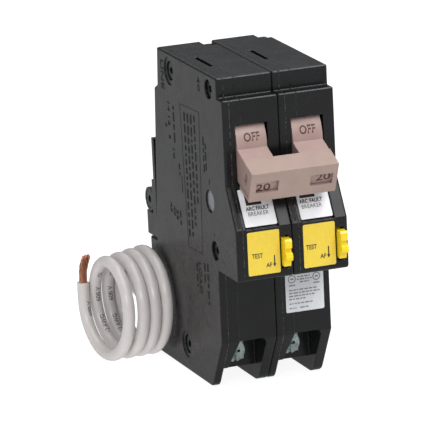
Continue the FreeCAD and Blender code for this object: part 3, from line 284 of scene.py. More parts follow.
def strand_path(ring_radius, angle0, flare, droop, wobble):
    """One strand: a helix about the wire's end line, opened by flare and bent by droop near the tip."""
    t = np.linspace(0.0, 1.0, STRAND_POINTS)
    start = wire_line[-1]
    line = wire_line[-1] - wire_line[-4]
    line /= np.linalg.norm(line)
    side = np.cross(line, (0.0, 1.0, 0.0))
    side /= np.linalg.norm(side)
    third = np.cross(side, line)
    angle = angle0 + LAY_ANGLE * t
    open_up = ring_radius * (1.0 - 0.12 * np.sin(np.pi * t)) + flare * t**3
    wave = wobble * np.sin(9.0 * t + angle0) * t
    return (
        start
        + np.outer(t * STRIPPED - 0.0004, line)
        + np.outer(open_up * np.cos(angle) + wave, side)
        + np.outer(open_up * np.sin(angle), third)
        + np.outer(droop * t**2.5, (0.94, -0.3, -0.1))
    )


strand_parts = []
for ring_radius, count in STRAND_RINGS:
    for number in range(count):
        path = strand_path(
            ring_radius,
            2 * math.pi * number / count,
            dice.uniform(0.0, 0.8) * MM,
            dice.uniform(1.0, 1.9) * MM,
            dice.uniform(0.1, 0.4) * MM,
        )
        keep = STRAND_POINTS - int(dice.integers(0, 4))
        strand_parts.append(tube(path[:keep], STRAND_RADIUS, 7))
strands = mesh_piece("copper_strand_bundle", *join(strand_parts))
print(len(strand_parts), "strands")

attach(wire, "case")
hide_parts("pigtail_lead", "pigtail_coil", "pigtail_end")
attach(strands, "case")
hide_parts("copper_strands")

# %% [markdown]
# ## Finishes
# Every surface here is moulded, printed or plated, so one recipe serves them all: a base colour
# that drifts a little, a roughness that drifts separately, a fine grain as bump, and edges rubbed
# paler. It could be a picture wrapped round each part, but noise read from the object's own
# coordinates needs no unwrapping and keeps its scale on every piece.

# %% The recipe


class Graph:
    """Short calls for building one material's nodes."""

    def __init__(self, name):
        self.material = bpy.data.materials.new(name)
        self.material.use_nodes = True
        self.tree = self.material.node_tree
        self.shader = self.tree.nodes["Principled BSDF"]
        place = self.add("ShaderNodeTexCoord")
        self.place = place.outputs["Object"]

    def add(self, kind, inputs=None, **settings):
        node = self.tree.nodes.new(kind)
        for key, value in settings.items():
            setattr(node, key, value)
        for key, value in (inputs or {}).items():
            if isinstance(value, bpy.types.NodeSocket):
                self.tree.links.new(value, node.inputs[key])
            else:
                node.inputs[key].default_value = value
        return node

    def stretched(self, stretch):
        return self.add("ShaderNodeMapping", {"Vector": self.place, "Scale": stretch}).outputs[0]

    def noise(self, size, detail=3.0, stretch=(1, 1, 1), sharp=0.5):
        settings = {
            "Vector": self.stretched(stretch), "Scale": 1.0 / size, "Detail": detail, "Roughness": sharp,
        }
        return self.add("ShaderNodeTexNoise", settings).outputs["Fac"]

    def spread(self, value, low, high, to_low=0.0, to_high=1.0):
        settings = {0: value, 1: low, 2: high, 3: to_low, 4: to_high}
        return self.add("ShaderNodeMapRange", settings).outputs[0]

    def math(self, operation, first, second=0.0):
        return self.add("ShaderNodeMath", {0: first, 1: second}, operation=operation).outputs[0]

    def mix(self, amount, first, second):
        node = self.add("ShaderNodeMix", data_type="RGBA")
        for key, value in ((0, amount), (6, first), (7, second)):
            if isinstance(value, bpy.types.NodeSocket):
                self.tree.links.new(value, node.inputs[key])
            else:
                node.inputs[key].default_value = value
        return node.outputs[2]

    def edges(self, width):
        """Near 1 where the surface turns within that width, 0 on flats."""
        soft = self.add("ShaderNodeBevel", {"Radius": width}, samples=4).outputs[0]
        hard = self.add("ShaderNodeNewGeometry").outputs["Normal"]
        dot = self.add("ShaderNodeVectorMath", {0: soft, 1: hard}, operation="DOT_PRODUCT")
        return self.spread(dot.outputs["Value"], 0.995, 0.86)

    def drive(self, socket, value):
        self.tree.links.new(value, self.shader.inputs[socket])


def shade(colour, factor):
    """A colour made lighter or darker, with full opacity."""
    return tuple(min(1.0, v * factor) for v in colour[:3]) + (1.0,)


def finish(name, colour, rough, metallic=0.0, tone=0.12, tone_size=4.0, rough_spread=0.08, grain=3.0,
           grain_size=0.25, stretch=(1, 1, 1), wear=None, wear_width=0.25, wear_amount=0.6,
           coat=0.0, specular=0.5, specks=0.0, round_look=0.0):
    """The shared recipe. Sizes are millimetres, grain is the bump's depth in micrometres."""
    graph = Graph(name)
    drift = graph.noise(tone_size * MM, 4.0, stretch)
    base = graph.mix(graph.spread(drift, 0.3, 0.7), shade(colour, 1 - tone), shade(colour, 1 + tone))
    fine = graph.noise(grain_size * MM, 2.0, stretch)
    rough_value = graph.spread(graph.noise(tone_size * 0.6 * MM, 5.0, stretch), 0.3, 0.7,
                               rough - rough_spread, rough + rough_spread)
    if specks:
        dots = graph.spread(graph.noise(0.35 * MM, 1.0), 0.74, 0.78)
        base = graph.mix(graph.math("MULTIPLY", dots, specks), base, (0.5, 0.5, 0.47, 1.0))
    if wear:
        broken = graph.spread(graph.noise(1.1 * MM, 4.0, sharp=0.7), 0.4, 0.62)
        rubbed = graph.math("MULTIPLY", graph.edges(wear_width * MM), broken)
        rubbed = graph.math("MULTIPLY", rubbed, wear_amount)
        base = graph.mix(rubbed, base, (*wear, 1.0))
        rough_value = graph.math("ADD", rough_value, graph.math("MULTIPLY", rubbed, 0.2))
    graph.drive("Base Color", base)
    graph.drive("Roughness", rough_value)
    bump = graph.add("ShaderNodeBump", {"Height": fine, "Strength": 1.0, "Distance": grain * 1e-6})
    if round_look:
        rounded = graph.add("ShaderNodeBevel", {"Radius": round_look * MM}, samples=6).outputs[0]
        graph.tree.links.new(rounded, bump.inputs["Normal"])
    graph.drive("Normal", bump.outputs[0])
    graph.shader.inputs["Metallic"].default_value = metallic
    graph.shader.inputs["Coat Weight"].default_value = coat
    graph.shader.inputs["Coat Roughness"].default_value = 0.12
    graph.shader.inputs["Specular IOR Level"].default_value = specular
    return graph


def finished(*settings, **more):
    """The recipe's material alone."""
    return finish(*settings, **more).material


print("recipe ready")

# %% [markdown]
# ## Black housing
# The poles are moulded from black phenolic. It has a satin skin, faint flow clouds from the mould,
# rubbed corners, and a line of pale dust in the joint between the thin cover and the middle frame.
# The dust is painted where the object's X is near a joint, broken by noise so it comes and goes.

# %% Housing finish
SEAM_SPOTS = [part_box(side + "_cover")[1][0] for side in SIDES]
BLACK = (0.0055, 0.006, 0.0068)


def dust_line(graph, spot, width):
    """1 within width of a plane across X, fading outside it."""
    across = graph.add("ShaderNodeSeparateXYZ", {0: graph.place}).outputs[0]
    away = graph.math("ABSOLUTE", graph.math("SUBTRACT", across, spot))
    return graph.spread(away, width, width * 0.3)


def black_housing():
    graph = finish("black_moulding", BLACK, 0.27, tone=0.2, tone_size=9.0, rough_spread=0.04, grain=0.5,
                   grain_size=0.22, wear=(0.15, 0.16, 0.155), wear_width=0.3, wear_amount=0.35,
                   specular=0.42, specks=0.1, round_look=0.6)
    base = graph.shader.inputs["Base Color"].links[0].from_socket
    broken = graph.spread(graph.noise(1.1 * MM, 6.0, sharp=0.8), 0.5, 0.64)
    facing = graph.add("ShaderNodeSeparateXYZ", {0: graph.add("ShaderNodeNewGeometry").outputs["Normal"]})
    front = graph.spread(facing.outputs[1], -0.3, -0.8)
    for spot in SEAM_SPOTS:
        line = graph.math("MULTIPLY", dust_line(graph, spot, 0.14 * MM), broken)
        line = graph.math("MULTIPLY", graph.math("MULTIPLY", line, front), 0.5)
        base = graph.mix(line, base, (0.34, 0.34, 0.28, 1.0))
    graph.drive("Base Color", base)
    return graph.material


BLACK_MOULDING = black_housing()
print("dust lines at x =", [round(v * 1000, 2) for v in SEAM_SPOTS])

# %% [markdown]
# ## Other finishes
# The handles are a pinkish tan moulding, the test buttons a glossier yellow one. Labels are printed
# film, the screws are zinc plated, the clamp plates carry yellow-brown passivation, and the current
# paths are copper. Plated and drawn metal has fine lines along one direction, so its noise is
# stretched.

# %% Finishes by slot
FINISHES = {
    "black_plastic": BLACK_MOULDING,
    "tan_plastic": finished("tan_moulding", (0.36, 0.25, 0.225), 0.36, tone=0.05, tone_size=6.0, grain=2.5,
                            wear=(0.68, 0.52, 0.47), wear_width=0.25, wear_amount=0.5, round_look=0.35),
    "yellow_plastic": finished("yellow_moulding", (0.88, 0.64, 0.012), 0.24, tone=0.05, tone_size=3.0,
                               grain=1.5, wear=(0.95, 0.8, 0.25), wear_amount=0.4, round_look=0.4),
    "yellow_label": finished("yellow_film", (0.78, 0.57, 0.05), 0.5, tone=0.035, tone_size=1.2, grain=3.0,
                             grain_size=0.15, wear=(0.9, 0.85, 0.6), wear_width=0.2, wear_amount=0.6),
    "white_label": finished("white_film", (0.84, 0.84, 0.87), 0.45, tone=0.03, tone_size=3.0, grain=2.0,
                            wear=(0.5, 0.5, 0.5), wear_width=0.12, wear_amount=0.3),
    "grey_label": finished("grey_film", (0.64, 0.66, 0.685), 0.42, tone=0.04, tone_size=1.5, grain=2.0,
                           wear=(0.8, 0.8, 0.8), wear_width=0.15, wear_amount=0.5),
    "seal_grey": finished("sealing_compound", (0.2, 0.21, 0.24), 0.35, tone=0.25, tone_size=0.9, grain=14.0,
                          grain_size=0.8, coat=0.3),
    "white_insulation": finished("white_insulation", (0.69, 0.65, 0.635), 0.22, tone=0.03, tone_size=5.0,
                                 rough_spread=0.06, grain=2.5, grain_size=0.9, coat=0.2),
    "copper": finished("bare_copper", (0.56, 0.26, 0.16), 0.36, metallic=1.0, tone=0.3, tone_size=1.0,
                       grain=2.5, stretch=(1, 1, 0.2)),
    "silver": finished("silver_alloy", (0.78, 0.76, 0.72), 0.3, metallic=1.0, tone=0.1, tone_size=1.0),
    "zinc_steel": finished("zinc_plate", (0.6, 0.63, 0.62), 0.3, metallic=1.0, tone=0.18, tone_size=1.4,
                           rough_spread=0.1, grain=3.0, grain_size=0.15, stretch=(1, 1, 3)),
    "brown_zinc": finished("yellow_zinc_plate", (0.42, 0.35, 0.28), 0.42, metallic=1.0, tone=0.25,
                           tone_size=1.2, grain=3.0, grain_size=0.15),
    "spring_steel": finished("spring_steel", (0.42, 0.42, 0.43), 0.28, metallic=1.0, tone=0.12,
                             tone_size=1.0, stretch=(1, 6, 1)),
    "board_green": finished("glass_epoxy", (0.02, 0.14, 0.045), 0.35, tone=0.2, tone_size=2.0, grain=4.0,
                            grain_size=0.3, coat=0.4),
    "chip_black": finished("component_epoxy", (0.02, 0.02, 0.021), 0.55, tone=0.2, tone_size=0.8, grain=5.0,
                           grain_size=0.12, wear=(0.09, 0.09, 0.09)),
}
print(len(FINISHES), "finishes")

# %% Give every node its finish
for name, node in NODES.items():
    for place in node.material_slots:
        place.material = FINISHES[place.material.name.split(".")[0]]
SCREW_FINISH = finished("screw_plate", (0.36, 0.43, 0.42), 0.22, metallic=1.0, tone=0.35, tone_size=1.6,
                        rough_spread=0.1, grain=2.0, grain_size=0.2)
OWN_FINISHES = {
    "tie_bar": finished("bar_moulding", (0.345, 0.25, 0.214), 0.4, tone=0.05, tone_size=5.0, grain=2.5,
                        wear=(0.6, 0.48, 0.42), wear_width=0.25, wear_amount=0.5, round_look=0.3),
    # Rivet steel painted nearly black: the colour is painted shade of the deep rivet holes.
    "rivets": finished("dull_rivet_steel", (0.06, 0.075, 0.08), 0.34, metallic=0.9, tone=0.4, tone_size=1.2,
                       rough_spread=0.12, grain=4.0),
}
for side in SIDES:
    OWN_FINISHES[side + "_terminal_screw"] = SCREW_FINISH
for name, material in OWN_FINISHES.items():
    for place in NODES[name].material_slots:
        place.material = material
for piece, slot in ((wire, "white_insulation"), (strands, "copper")):
    piece.data.materials.clear()
    piece.data.materials.append(FINISHES[slot])
print("finished", len(NODES), "nodes")

# %% [markdown]
# ## Print and moulded lettering
# Words on the real parts are ink a few hundredths of a millimetre thick, or letters raised by the
# mould. They could be a picture, but letters made as thin mesh keep sharp edges at any distance.
# A font curve becomes a mesh first; its flat points are then carried onto a surface by a function
# of two distances, so the same letters can lie flat, lean, or wrap round the handle's drum.

# %% Flat shapes


def letter_shape(text, centre, height, width, thick, bold=0.012):
    """Points and faces of a word in its own plane: fitted to width by height, centred, thick upwards.

    bold widens every stroke on both sides, in parts of the letter's size.
    """
    data = bpy.data.curves.new("letters", "FONT")
    data.body = text
    data.offset = bold
    data.extrude = 0.5
    data.resolution_u = 4
    holder = bpy.data.objects.new("letters", data)
    bpy.context.scene.collection.objects.link(holder)
    bpy.context.view_layer.update()
    mesh = bpy.data.meshes.new_from_object(holder)
    points = np.empty(len(mesh.vertices) * 3)
    mesh.vertices.foreach_get("co", points)
    points = points.reshape(-1, 3)
    faces = [tuple(face.vertices) for face in mesh.polygons]
    bpy.data.objects.remove(holder)
    bpy.data.meshes.remove(mesh)
    low, high = points.min(axis=0), points.max(axis=0)
    points = (points - (low + high) / 2) / (high - low) * (width, height, thick)
    return points + (centre[0], centre[1], thick / 2), faces


def plate_shape(outline, thick):
    """A thin plate: the outline's points at the bottom and again at the top, joined by walls."""
    outline = np.asarray(outline, dtype=float)
    count = len(outline)
    low = np.column_stack([outline, np.zeros(count)])
    high = np.column_stack([outline, np.full(count, thick)])
    faces = [tuple(range(count, 2 * count)), tuple(reversed(range(count)))]
    faces += [(n, (n + 1) % count, count + (n + 1) % count, count + n) for n in range(count)]
    return np.vstack([low, high]), faces


def bar_shape(centre, width, height, thick):
    """A bar with its corners cut a little, which stands for a word too small to read."""
    half_w, half_h = width / 2, height / 2
    cut = min(half_w, half_h) * 0.5
    signs = ((1, -1, 0, 1), (1, 1, 1, 0), (-1, 1, 0, 1), (-1, -1, 1, 0))
    outline = []
    for sx, sy, cx, cy in signs:
        first = (sx * (half_w - cut * (cx == 0)), sy * (half_h - cut * (cx == 1)))
        second = (sx * (half_w - cut * (cy == 0)), sy * (half_h - cut * (cy == 1)))
        outline += [first, second]
    angles = np.arctan2([p[1] for p in outline], [p[0] for p in outline])
    outline = np.asarray(outline)[np.argsort(angles)]
    return plate_shape(outline + centre, thick)


def ring_shape(centre, radius, line, thick, count=28):
    """A flat ring: four circles of points, inner and outer, low and high."""
    angle = np.linspace(0, 2 * np.pi, count, endpoint=False)
    circle = np.column_stack([np.cos(angle), np.sin(angle)])
    rings = [
        np.column_stack([circle * r + centre, np.full(count, z)])
        for r, z in ((radius, 0.0), (radius, thick), (radius - line, thick), (radius - line, 0.0))
    ]
    faces = []
    for ring in range(4):
        after = (ring + 1) % 4
        for n in range(count):
            m = (n + 1) % count
            faces.append((ring * count + n, ring * count + m, after * count + m, after * count + n))
    return np.vstack(rings), faces


print("bar has", len(bar_shape((0, 0), 1, 1, 0.1)[0]), "points")

# %% Carry shapes onto surfaces


def flat_place(origin, across, upward):
    """A surface function: origin plus u along across, v along upward and w along their cross product."""
    origin, across, upward = (np.asarray(v, dtype=float) for v in (origin, across, upward))
    outward = np.cross(across, upward)

    def carry(points):
        u, v, w = (points[:, n, None] for n in range(3))
        return (origin + u * across + v * upward + w * outward) * MM

    return carry


def drum_place(pivot, radius, middle, angle0):
    """A surface function: u runs along the drum's axis, v round it from angle0 above the level."""
    def carry(points):
        angle = angle0 + points[:, 1] / radius
        reach = radius + points[:, 2]
        return np.column_stack([
            middle + points[:, 0],
            pivot[0] - reach * np.cos(angle),
            pivot[1] + reach * np.sin(angle),
        ]) * MM

    return carry


def print_on(name, shapes, body, material):
    """One piece from shapes that already lie in the row frame."""
    piece = mesh_piece(name, *join(shapes), smooth=False)
    piece.data.materials.append(material)
    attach(piece, body)
    print(name, len(piece.data.polygons), "faces")


def carried(place, shapes):
    """Each shape's points carried onto the surface."""
    return [(place(points), faces) for points, faces in shapes]


INK = 0.03
BROWN_INK = finished("brown_ink", (0.085, 0.028, 0.02), 0.55, tone=0.25, tone_size=0.6)
DARK_INK = finished("dark_ink", (0.02, 0.02, 0.024), 0.5, tone=0.3, tone_size=0.5)
PALE_INK = finished("pale_ink", (0.2, 0.2, 0.215), 0.5, tone=0.25, tone_size=0.4)

# %% [markdown]
# ## Handle lettering
# Each drum says OFF where it shows above the lever, stamped in brown. The rating, 20, is on the
# lever's tip and is read through the window of the bar that ties the two levers. On the real part
# the two stamps don't line up exactly, so the right one sits higher and its window cuts it.

# %% OFF and 20
PIVOT = (-19.95, 83.1)
DRUM_RADIUS = 12.8
HANDLE_MIDDLES = {side: sum(v[0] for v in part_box(side + "_handle")) / 2 / MM for side in SIDES}
LEVER_TILT = math.radians(23.5)
LEVER_TIP = 24.7
LEVER_WAY = (0.0, -math.cos(LEVER_TILT), -math.sin(LEVER_TILT))
LEVER_UP = (0.0, -math.sin(LEVER_TILT), math.cos(LEVER_TILT))
RATING_SPOTS = {"left": (-0.55, -1.0), "right": (0.75, -0.05)}
for side in SIDES:
    middle = HANDLE_MIDDLES[side]
    drum = drum_place(PIVOT, DRUM_RADIUS, middle, math.radians(15.9))
    tip = (middle, PIVOT[0] + LEVER_TIP * LEVER_WAY[1], PIVOT[1] + LEVER_TIP * LEVER_WAY[2])
    end = flat_place(tip, (1, 0, 0), LEVER_UP)
    shapes = carried(drum, [letter_shape("OFF", (0.15, 0.0), 2.9, 5.4, INK, 0.02)])
    shapes += carried(end, [letter_shape("20", RATING_SPOTS[side], 2.65, 4.9, INK)])
    print_on(side + "_handle_lettering", shapes, "handles", BROWN_INK)

# %% [markdown]
# ## Label print
# The yellow labels say TEST and point at the button with an arrow. The white ones name the kind of
# breaker under a plain dark block. The rating label on the right pole holds two plain rings and
# rows of bars, because its words are far too small to read.

# %% Yellow and white labels
LABEL_MIDDLES = {"left": -19.05 + 9.05, "right": 9.05}
TEST_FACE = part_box("test_labels")[0][1] / MM
TEST_MIDDLE = sum(v[2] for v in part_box("test_labels")) / 2 / MM
ARROW = [(3.6, -1.1), (3.6, -3.8), (3.2, -3.8), (3.8, -5.0), (4.4, -3.8), (4.0, -3.8), (4.0, -1.1)]
PRINT_SHIFTS = {"left": (-0.3, -0.1), "right": (-0.8, 0.3)}
NAME_SHIFTS = {"left": -0.05, "right": -0.85}
SLANT = Vector((0.0, 7.4, 12.9)).normalized()
LABEL_LIFT = 0.06
test_shapes, name_shapes = [], []
for side in SIDES:
    middle = LABEL_MIDDLES[side]
    front = flat_place((middle, TEST_FACE, TEST_MIDDLE), (1, 0, 0), (0, 0, 1))
    shift = np.array(PRINT_SHIFTS[side])
    test_shapes += carried(front, [
        letter_shape("TEST", shift + (-2.0, -0.7), 1.6, 3.6, INK, 0.02),
        letter_shape("AF", shift + (1.9, -4.1), 1.45, 2.0, INK, 0.02),
        plate_shape(np.array(ARROW[::-1]) + shift, INK),
    ])
    low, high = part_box("name_labels")
    slant_middle = ((low[1] + high[1]) / 2 / MM, (low[2] + high[2]) / 2 / MM)
    aside = NAME_SHIFTS[side]
    outward = (0.0, -SLANT[2], SLANT[1])
    origin = (middle, slant_middle[0] + LABEL_LIFT * outward[1], slant_middle[1] + LABEL_LIFT * outward[2])
    leaning = flat_place(origin, (1, 0, 0), SLANT)
    name_shapes += carried(leaning, [
        letter_shape("ARC FAULT", (aside, -0.35), 1.4, 7.9, INK, 0.03),
        letter_shape("BREAKER", (aside, -2.1), 1.3, 6.9, INK, 0.0),
        plate_shape(np.array([(-3.5, 0.8), (-3.5, 5.6), (1.7, 5.6), (1.7, 0.8)]) + (aside, 0.0), INK),
    ])
print_on("test_label_print", test_shapes, "case", DARK_INK)
print_on("name_label_print", name_shapes, "case", DARK_INK)

# %% Rating label


def word_bars(left, right, level, height, generator):
    """Bars of random length from left to right on one line."""
    shapes, at = [], left
    while at < right - 0.35:
        long = min(generator.uniform(0.5, 1.7), right - at)
        shapes.append(bar_shape((at + long / 2, level), long, height, INK))
        at += long + 0.28
    return shapes


low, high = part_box("rating_label")
RATING_MIDDLE = ((low[0] + high[0]) / 2 / MM, low[1] / MM, (low[2] + high[2]) / 2 / MM)
rating = flat_place(RATING_MIDDLE, (1, 0, 0), (0, 0, 1))
dice = np.random.default_rng(11)
rows = [
    (-2.3, 2.3, 4.9), (-2.6, 2.6, 4.0), (-1.6, 1.6, 3.1),
    (-5.5, 4.2, 0.6), (-5.5, 5.2, -0.4), (-5.5, 3.4, -1.4), (-5.5, 0.2, -2.4),
    (-5.5, 2.6, -3.9), (-5.5, -3.1, -5.4), (-1.9, 1.6, -5.4),
]
shapes = [shape for row in rows for shape in word_bars(*row, 0.42, dice)]
for spot in ((-4.3, 4.3), (4.2, 4.3)):
    shapes.append(ring_shape(spot, 1.35, 0.3, INK))
    shapes.append(bar_shape(spot, 1.1, 0.5, INK))
    shapes.append(bar_shape((spot[0], 2.2), 2.2, 0.4, INK))
print_on("rating_label_print", carried(rating, shapes), "case", PALE_INK)

# %% [markdown]
# ## Marks on the side
# The thin cover carries letters raised by its mould: which end is the line and which the load, a
# table of wire gauges, and boxed small print. The gauges are kept as numbers and the small print
# as bars. The letters are the housing's own plastic, only duller on top.

# %% Side lettering
SIDE_INK = 0.05
SIDE_MARK = finished("raised_mark", (0.006, 0.0065, 0.0065), 0.6, tone=0.2, tone_size=1.0, specular=0.3)
side_face = flat_place((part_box("left_cover")[0][0] / MM, 0.0, 0.0), (0, 0, -1), (0, -1, 0))


def side_word(text, depth, top, bottom, size):
    """A word that reads downwards on the left side, from height top to height bottom."""
    return letter_shape(text, (-(top + bottom) / 2, -depth), size, abs(top - bottom), SIDE_INK)


def side_line(first, second, line=0.18):
    """A thin raised line between two points given as depth and height."""
    start, end = np.array([-first[1], -first[0]]), np.array([-second[1], -second[0]])
    way = (end - start) / np.linalg.norm(end - start)
    across = np.array([-way[1], way[0]]) * line / 2
    return plate_shape([start - across, end - across, end + across, start + across], SIDE_INK)


side_shapes = [
    side_word("LINE", 21.9, 102.2, 92.4, 2.6),
    side_word("LOAD", -5.0, 40.2, 29.8, 2.8),
    side_word("40", -11.5, 103.4, 98.4, 2.2),
    side_word("14", 17.6, 89.0, 85.8, 1.9),
    side_word("12", 17.6, 84.2, 81.0, 1.9),
    side_word("10", 14.6, 74.0, 70.6, 1.9),
    side_word("8", 17.6, 78.0, 76.6, 1.9),
    side_word("6", 20.4, 81.4, 80.0, 1.9),
    side_word("45", 19.4, 55.0, 51.6, 1.7),
    side_word("40", 16.4, 54.4, 51.0, 1.7),
    side_word("35", 13.9, 53.6, 50.2, 1.7),
]
dice = np.random.default_rng(5)
box_corners = [(6.85, 90.6), (-10.55, 91.2), (-7.95, 43.7), (4.65, 43.3)]
for n in range(4):
    side_shapes.append(side_line(box_corners[n], box_corners[(n + 1) % 4]))
for depth, top, bottom, size in (
    (3.2, 88.6, 47.0, 1.25), (0.2, 88.8, 46.4, 1.25), (-2.8, 89.0, 52.0, 1.25), (-5.8, 89.2, 60.0, 1.1),
    (13.2, 88.6, 76.0, 1.2), (9.9, 70.0, 66.0, 1.0), (11.0, 54.0, 48.0, 1.1),
    (-9.2, 41.0, 33.0, 1.2), (-12.0, 41.5, 27.5, 1.2), (-2.2, 39.5, 31.5, 1.2),
    (-13.2, 84.0, 72.0, 0.9), (-15.0, 82.0, 73.0, 0.9),
):
    at = top
    while at > bottom + 0.8:
        long = min(dice.uniform(1.1, 3.6), at - bottom)
        side_shapes.append(bar_shape((-(at - long / 2), -depth), long, size, SIDE_INK))
        at -= long + 0.8
side_shapes.append(side_line((8.0, 66.2), (8.0, 60.6), 0.4))
side_shapes.append(side_line((-17.0, 68.8), (-17.4, 70.6), 0.5))
side_shapes.append(side_line((-19.6, 52.2), (-19.6, 53.2), 0.4))
print_on("side_marks", carried(side_face, side_shapes), "case", SIDE_MARK)

# %% [markdown]
# ## Springs and windings
# Inside each pole a toggle spring snaps the contact arm over, a solenoid pulls the trip plunger,
# and a ring-shaped transformer senses current. In the frame these are plain hulls. Here each is
# wire wound on a helix, made as one tube carried along a path worked out from the hull's box.

# %% Helical windings


def helix(start, end, radius, turns, per_turn=16):
    """A path that circles the line from start to end at one radius, advancing evenly."""
    start, end = np.asarray(start, dtype=float), np.asarray(end, dtype=float)
    axis = (end - start) / np.linalg.norm(end - start)
    side = np.cross(axis, (1.0, 0.0, 0.0) if abs(axis[0]) < 0.9 else (0.0, 0.0, 1.0))
    side /= np.linalg.norm(side)
    third = np.cross(axis, side)
    t = np.linspace(0, 1, int(turns * per_turn) + 1)
    angle = 2 * np.pi * turns * t
    return (
        start
        + np.outer(t, end - start)
        + radius * np.outer(np.cos(angle), side)
        + radius * np.outer(np.sin(angle), third)
    )


def wound(name, node, body, slot, shape):
    """One wound piece that stands for a node."""
    piece = mesh_piece(name, *shape)
    piece.data.materials.append(FINISHES[slot])
    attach(piece, body)
    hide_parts(node)
    print(name, len(piece.data.polygons), "faces")


def points_of(node):
    """A node's points as rows."""
    mesh = NODES[node].data
    points = np.empty(len(mesh.vertices) * 3)
    mesh.vertices.foreach_get("co", points)
    return points.reshape(-1, 3)


def box_of(node):
    """A node's lowest and highest corner as arrays."""
    return (np.array(corner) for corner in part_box(node))


# %% Toggle springs
SPRING_WIRE = 0.22 * MM
SPRING_TURNS = 13
for side in SIDES:
    low, high = box_of(side + "_toggle_spring")
    centre, radius = (low + high) / 2, (high - low)[0] / 2 - SPRING_WIRE
    points = points_of(side + "_toggle_spring")
    lean = np.linalg.svd(points - points.mean(axis=0), full_matrices=False)[2][0]
    run = (points - centre) @ lean
    first = centre + lean * (run.min() + SPRING_WIRE)
    last = centre + lean * (run.max() - SPRING_WIRE)
    path = helix(first, last, radius, SPRING_TURNS)
    wound(side + "_toggle_coil", side + "_toggle_spring", side + "_contact_arm", "spring_steel",
          tube(path, SPRING_WIRE, 6))

# %% Solenoid and current sensor
ENAMEL_WIRE = 0.3 * MM
SENSOR_WIRE = 0.2 * MM
SENSOR_TURNS = 44
for side in SIDES:
    low, high = box_of(side + "_trip_coil")
    centre, radius = (low + high) / 2, (high - low)[2] / 2 - ENAMEL_WIRE
    front, back = centre.copy(), centre.copy()
    front[1], back[1] = low[1] + ENAMEL_WIRE, high[1] - ENAMEL_WIRE
    turns = int((back[1] - front[1]) / (2.05 * ENAMEL_WIRE))
    shapes = [tube(helix(front, back, radius, turns), ENAMEL_WIRE, 6)]
    shapes += [tube(helix(front, back, radius - 2.4 * ENAMEL_WIRE, turns), ENAMEL_WIRE, 6)]
    wound(side + "_trip_winding", side + "_trip_coil", "case", "copper", join(shapes))

    low, high = box_of(side + "_current_sensor")
    centre, half = (low + high) / 2, (high - low) / 2
    outer, inner = half[2] - SENSOR_WIRE, half[2] * 0.5
    angle = np.linspace(0, 2 * np.pi, SENSOR_TURNS * 12 + 1)
    roll = SENSOR_TURNS * angle
    reach = (outer + inner) / 2 + (outer - inner) / 2 * np.cos(roll)
    ring = centre + np.column_stack([
        reach * np.cos(angle), (half[1] - SENSOR_WIRE) * np.sin(roll), reach * np.sin(angle),
    ])
    wound(side + "_sensor_winding", side + "_current_sensor", "case", "copper", tube(ring, SENSOR_WIRE, 5))

# %% [markdown]
# ## Seals and wire print
# The calibration hole of each pole is closed with grey compound, pressed in with a thumb so that one
# side sinks; a dark crescent painted on that side is the shade in the hollow. The insulation carries
# its gauge and voltage in grey.
# Letters follow the wire by taking their u as distance along its path and their v as an angle.

# %% Painted shade crescents on the seals
SEAL_MIDDLE = (-17.05, 63.4)
CRESCENT_RADIUS = 3.45
INNER_SHIFT, INNER_WIDTH, INNER_HEIGHT = 0.6, 2.35, 2.9
turns = np.radians(np.linspace(-62, 48, 14))
outer = np.column_stack([CRESCENT_RADIUS * np.cos(turns), CRESCENT_RADIUS * np.sin(turns)])
inner = np.column_stack([
    INNER_SHIFT + INNER_WIDTH * np.cos(turns[::-1]), INNER_HEIGHT * np.sin(turns[::-1]),
])
seal_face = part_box("calibration_seals")[0][0] / MM
seal_place = flat_place((seal_face, SEAL_MIDDLE[0], SEAL_MIDDLE[1]), (0, -1, 0), (0, 0, 1))
# The crescent is a near-black sheet: painted shade where the seal sinks.
print_on("seal_painted_shade", carried(seal_place, [plate_shape(np.vstack([outer, inner]), 0.02)]), "case",
         finished("seal_shadow", (0.012, 0.012, 0.014), 0.3, tone=0.3, tone_size=0.8))

# %% Letters along the wire
wire_steps = np.linalg.norm(np.diff(wire_line, axis=0), axis=1)
wire_runs = np.concatenate([[0.0], np.cumsum(wire_steps)]) / MM


def wire_place(start, facing):
    """A surface function: u runs along the wire from start, v round it from the side facing a point."""
    def carry(points):
        run = start + points[:, 0]
        spot = np.column_stack([np.interp(run, wire_runs, wire_line[:, n]) for n in range(3)])
        after = np.column_stack([np.interp(run + 0.5, wire_runs, wire_line[:, n]) for n in range(3)])
        ahead = (after - spot) / np.linalg.norm(after - spot, axis=1)[:, None]
        toward = np.asarray(facing) * MM - spot
        toward -= (toward * ahead).sum(axis=1)[:, None] * ahead
        toward /= np.linalg.norm(toward, axis=1)[:, None]
        third = np.cross(ahead, toward)
        radius = WIRE_DIAMETER / 2 / MM
        angle = points[:, 1, None] / radius
        reach = (radius + points[:, 2, None] - 0.015) * MM
        return spot + reach * (np.cos(angle) * toward - np.sin(angle) * third)

    return carry


def round_words(text, centre, height, width):
    """A word cut into short pieces across, so that it can bend."""
    points, faces = letter_shape(text, centre, height, width, INK, 0.02)
    mesh = bmesh.new()
    spots = [mesh.verts.new(p) for p in points]
    for face in faces:
        mesh.faces.new([spots[v] for v in face])
    bmesh.ops.triangulate(mesh, faces=mesh.faces[:])
    bmesh.ops.subdivide_edges(mesh, edges=[e for e in mesh.edges if e.calc_length() > 0.6], cuts=1)
    bmesh.ops.triangulate(mesh, faces=mesh.faces[:])
    mesh.verts.index_update()
    result = np.array([v.co for v in mesh.verts]), [tuple(v.index for v in f.verts) for f in mesh.faces]
    mesh.free()
    return result


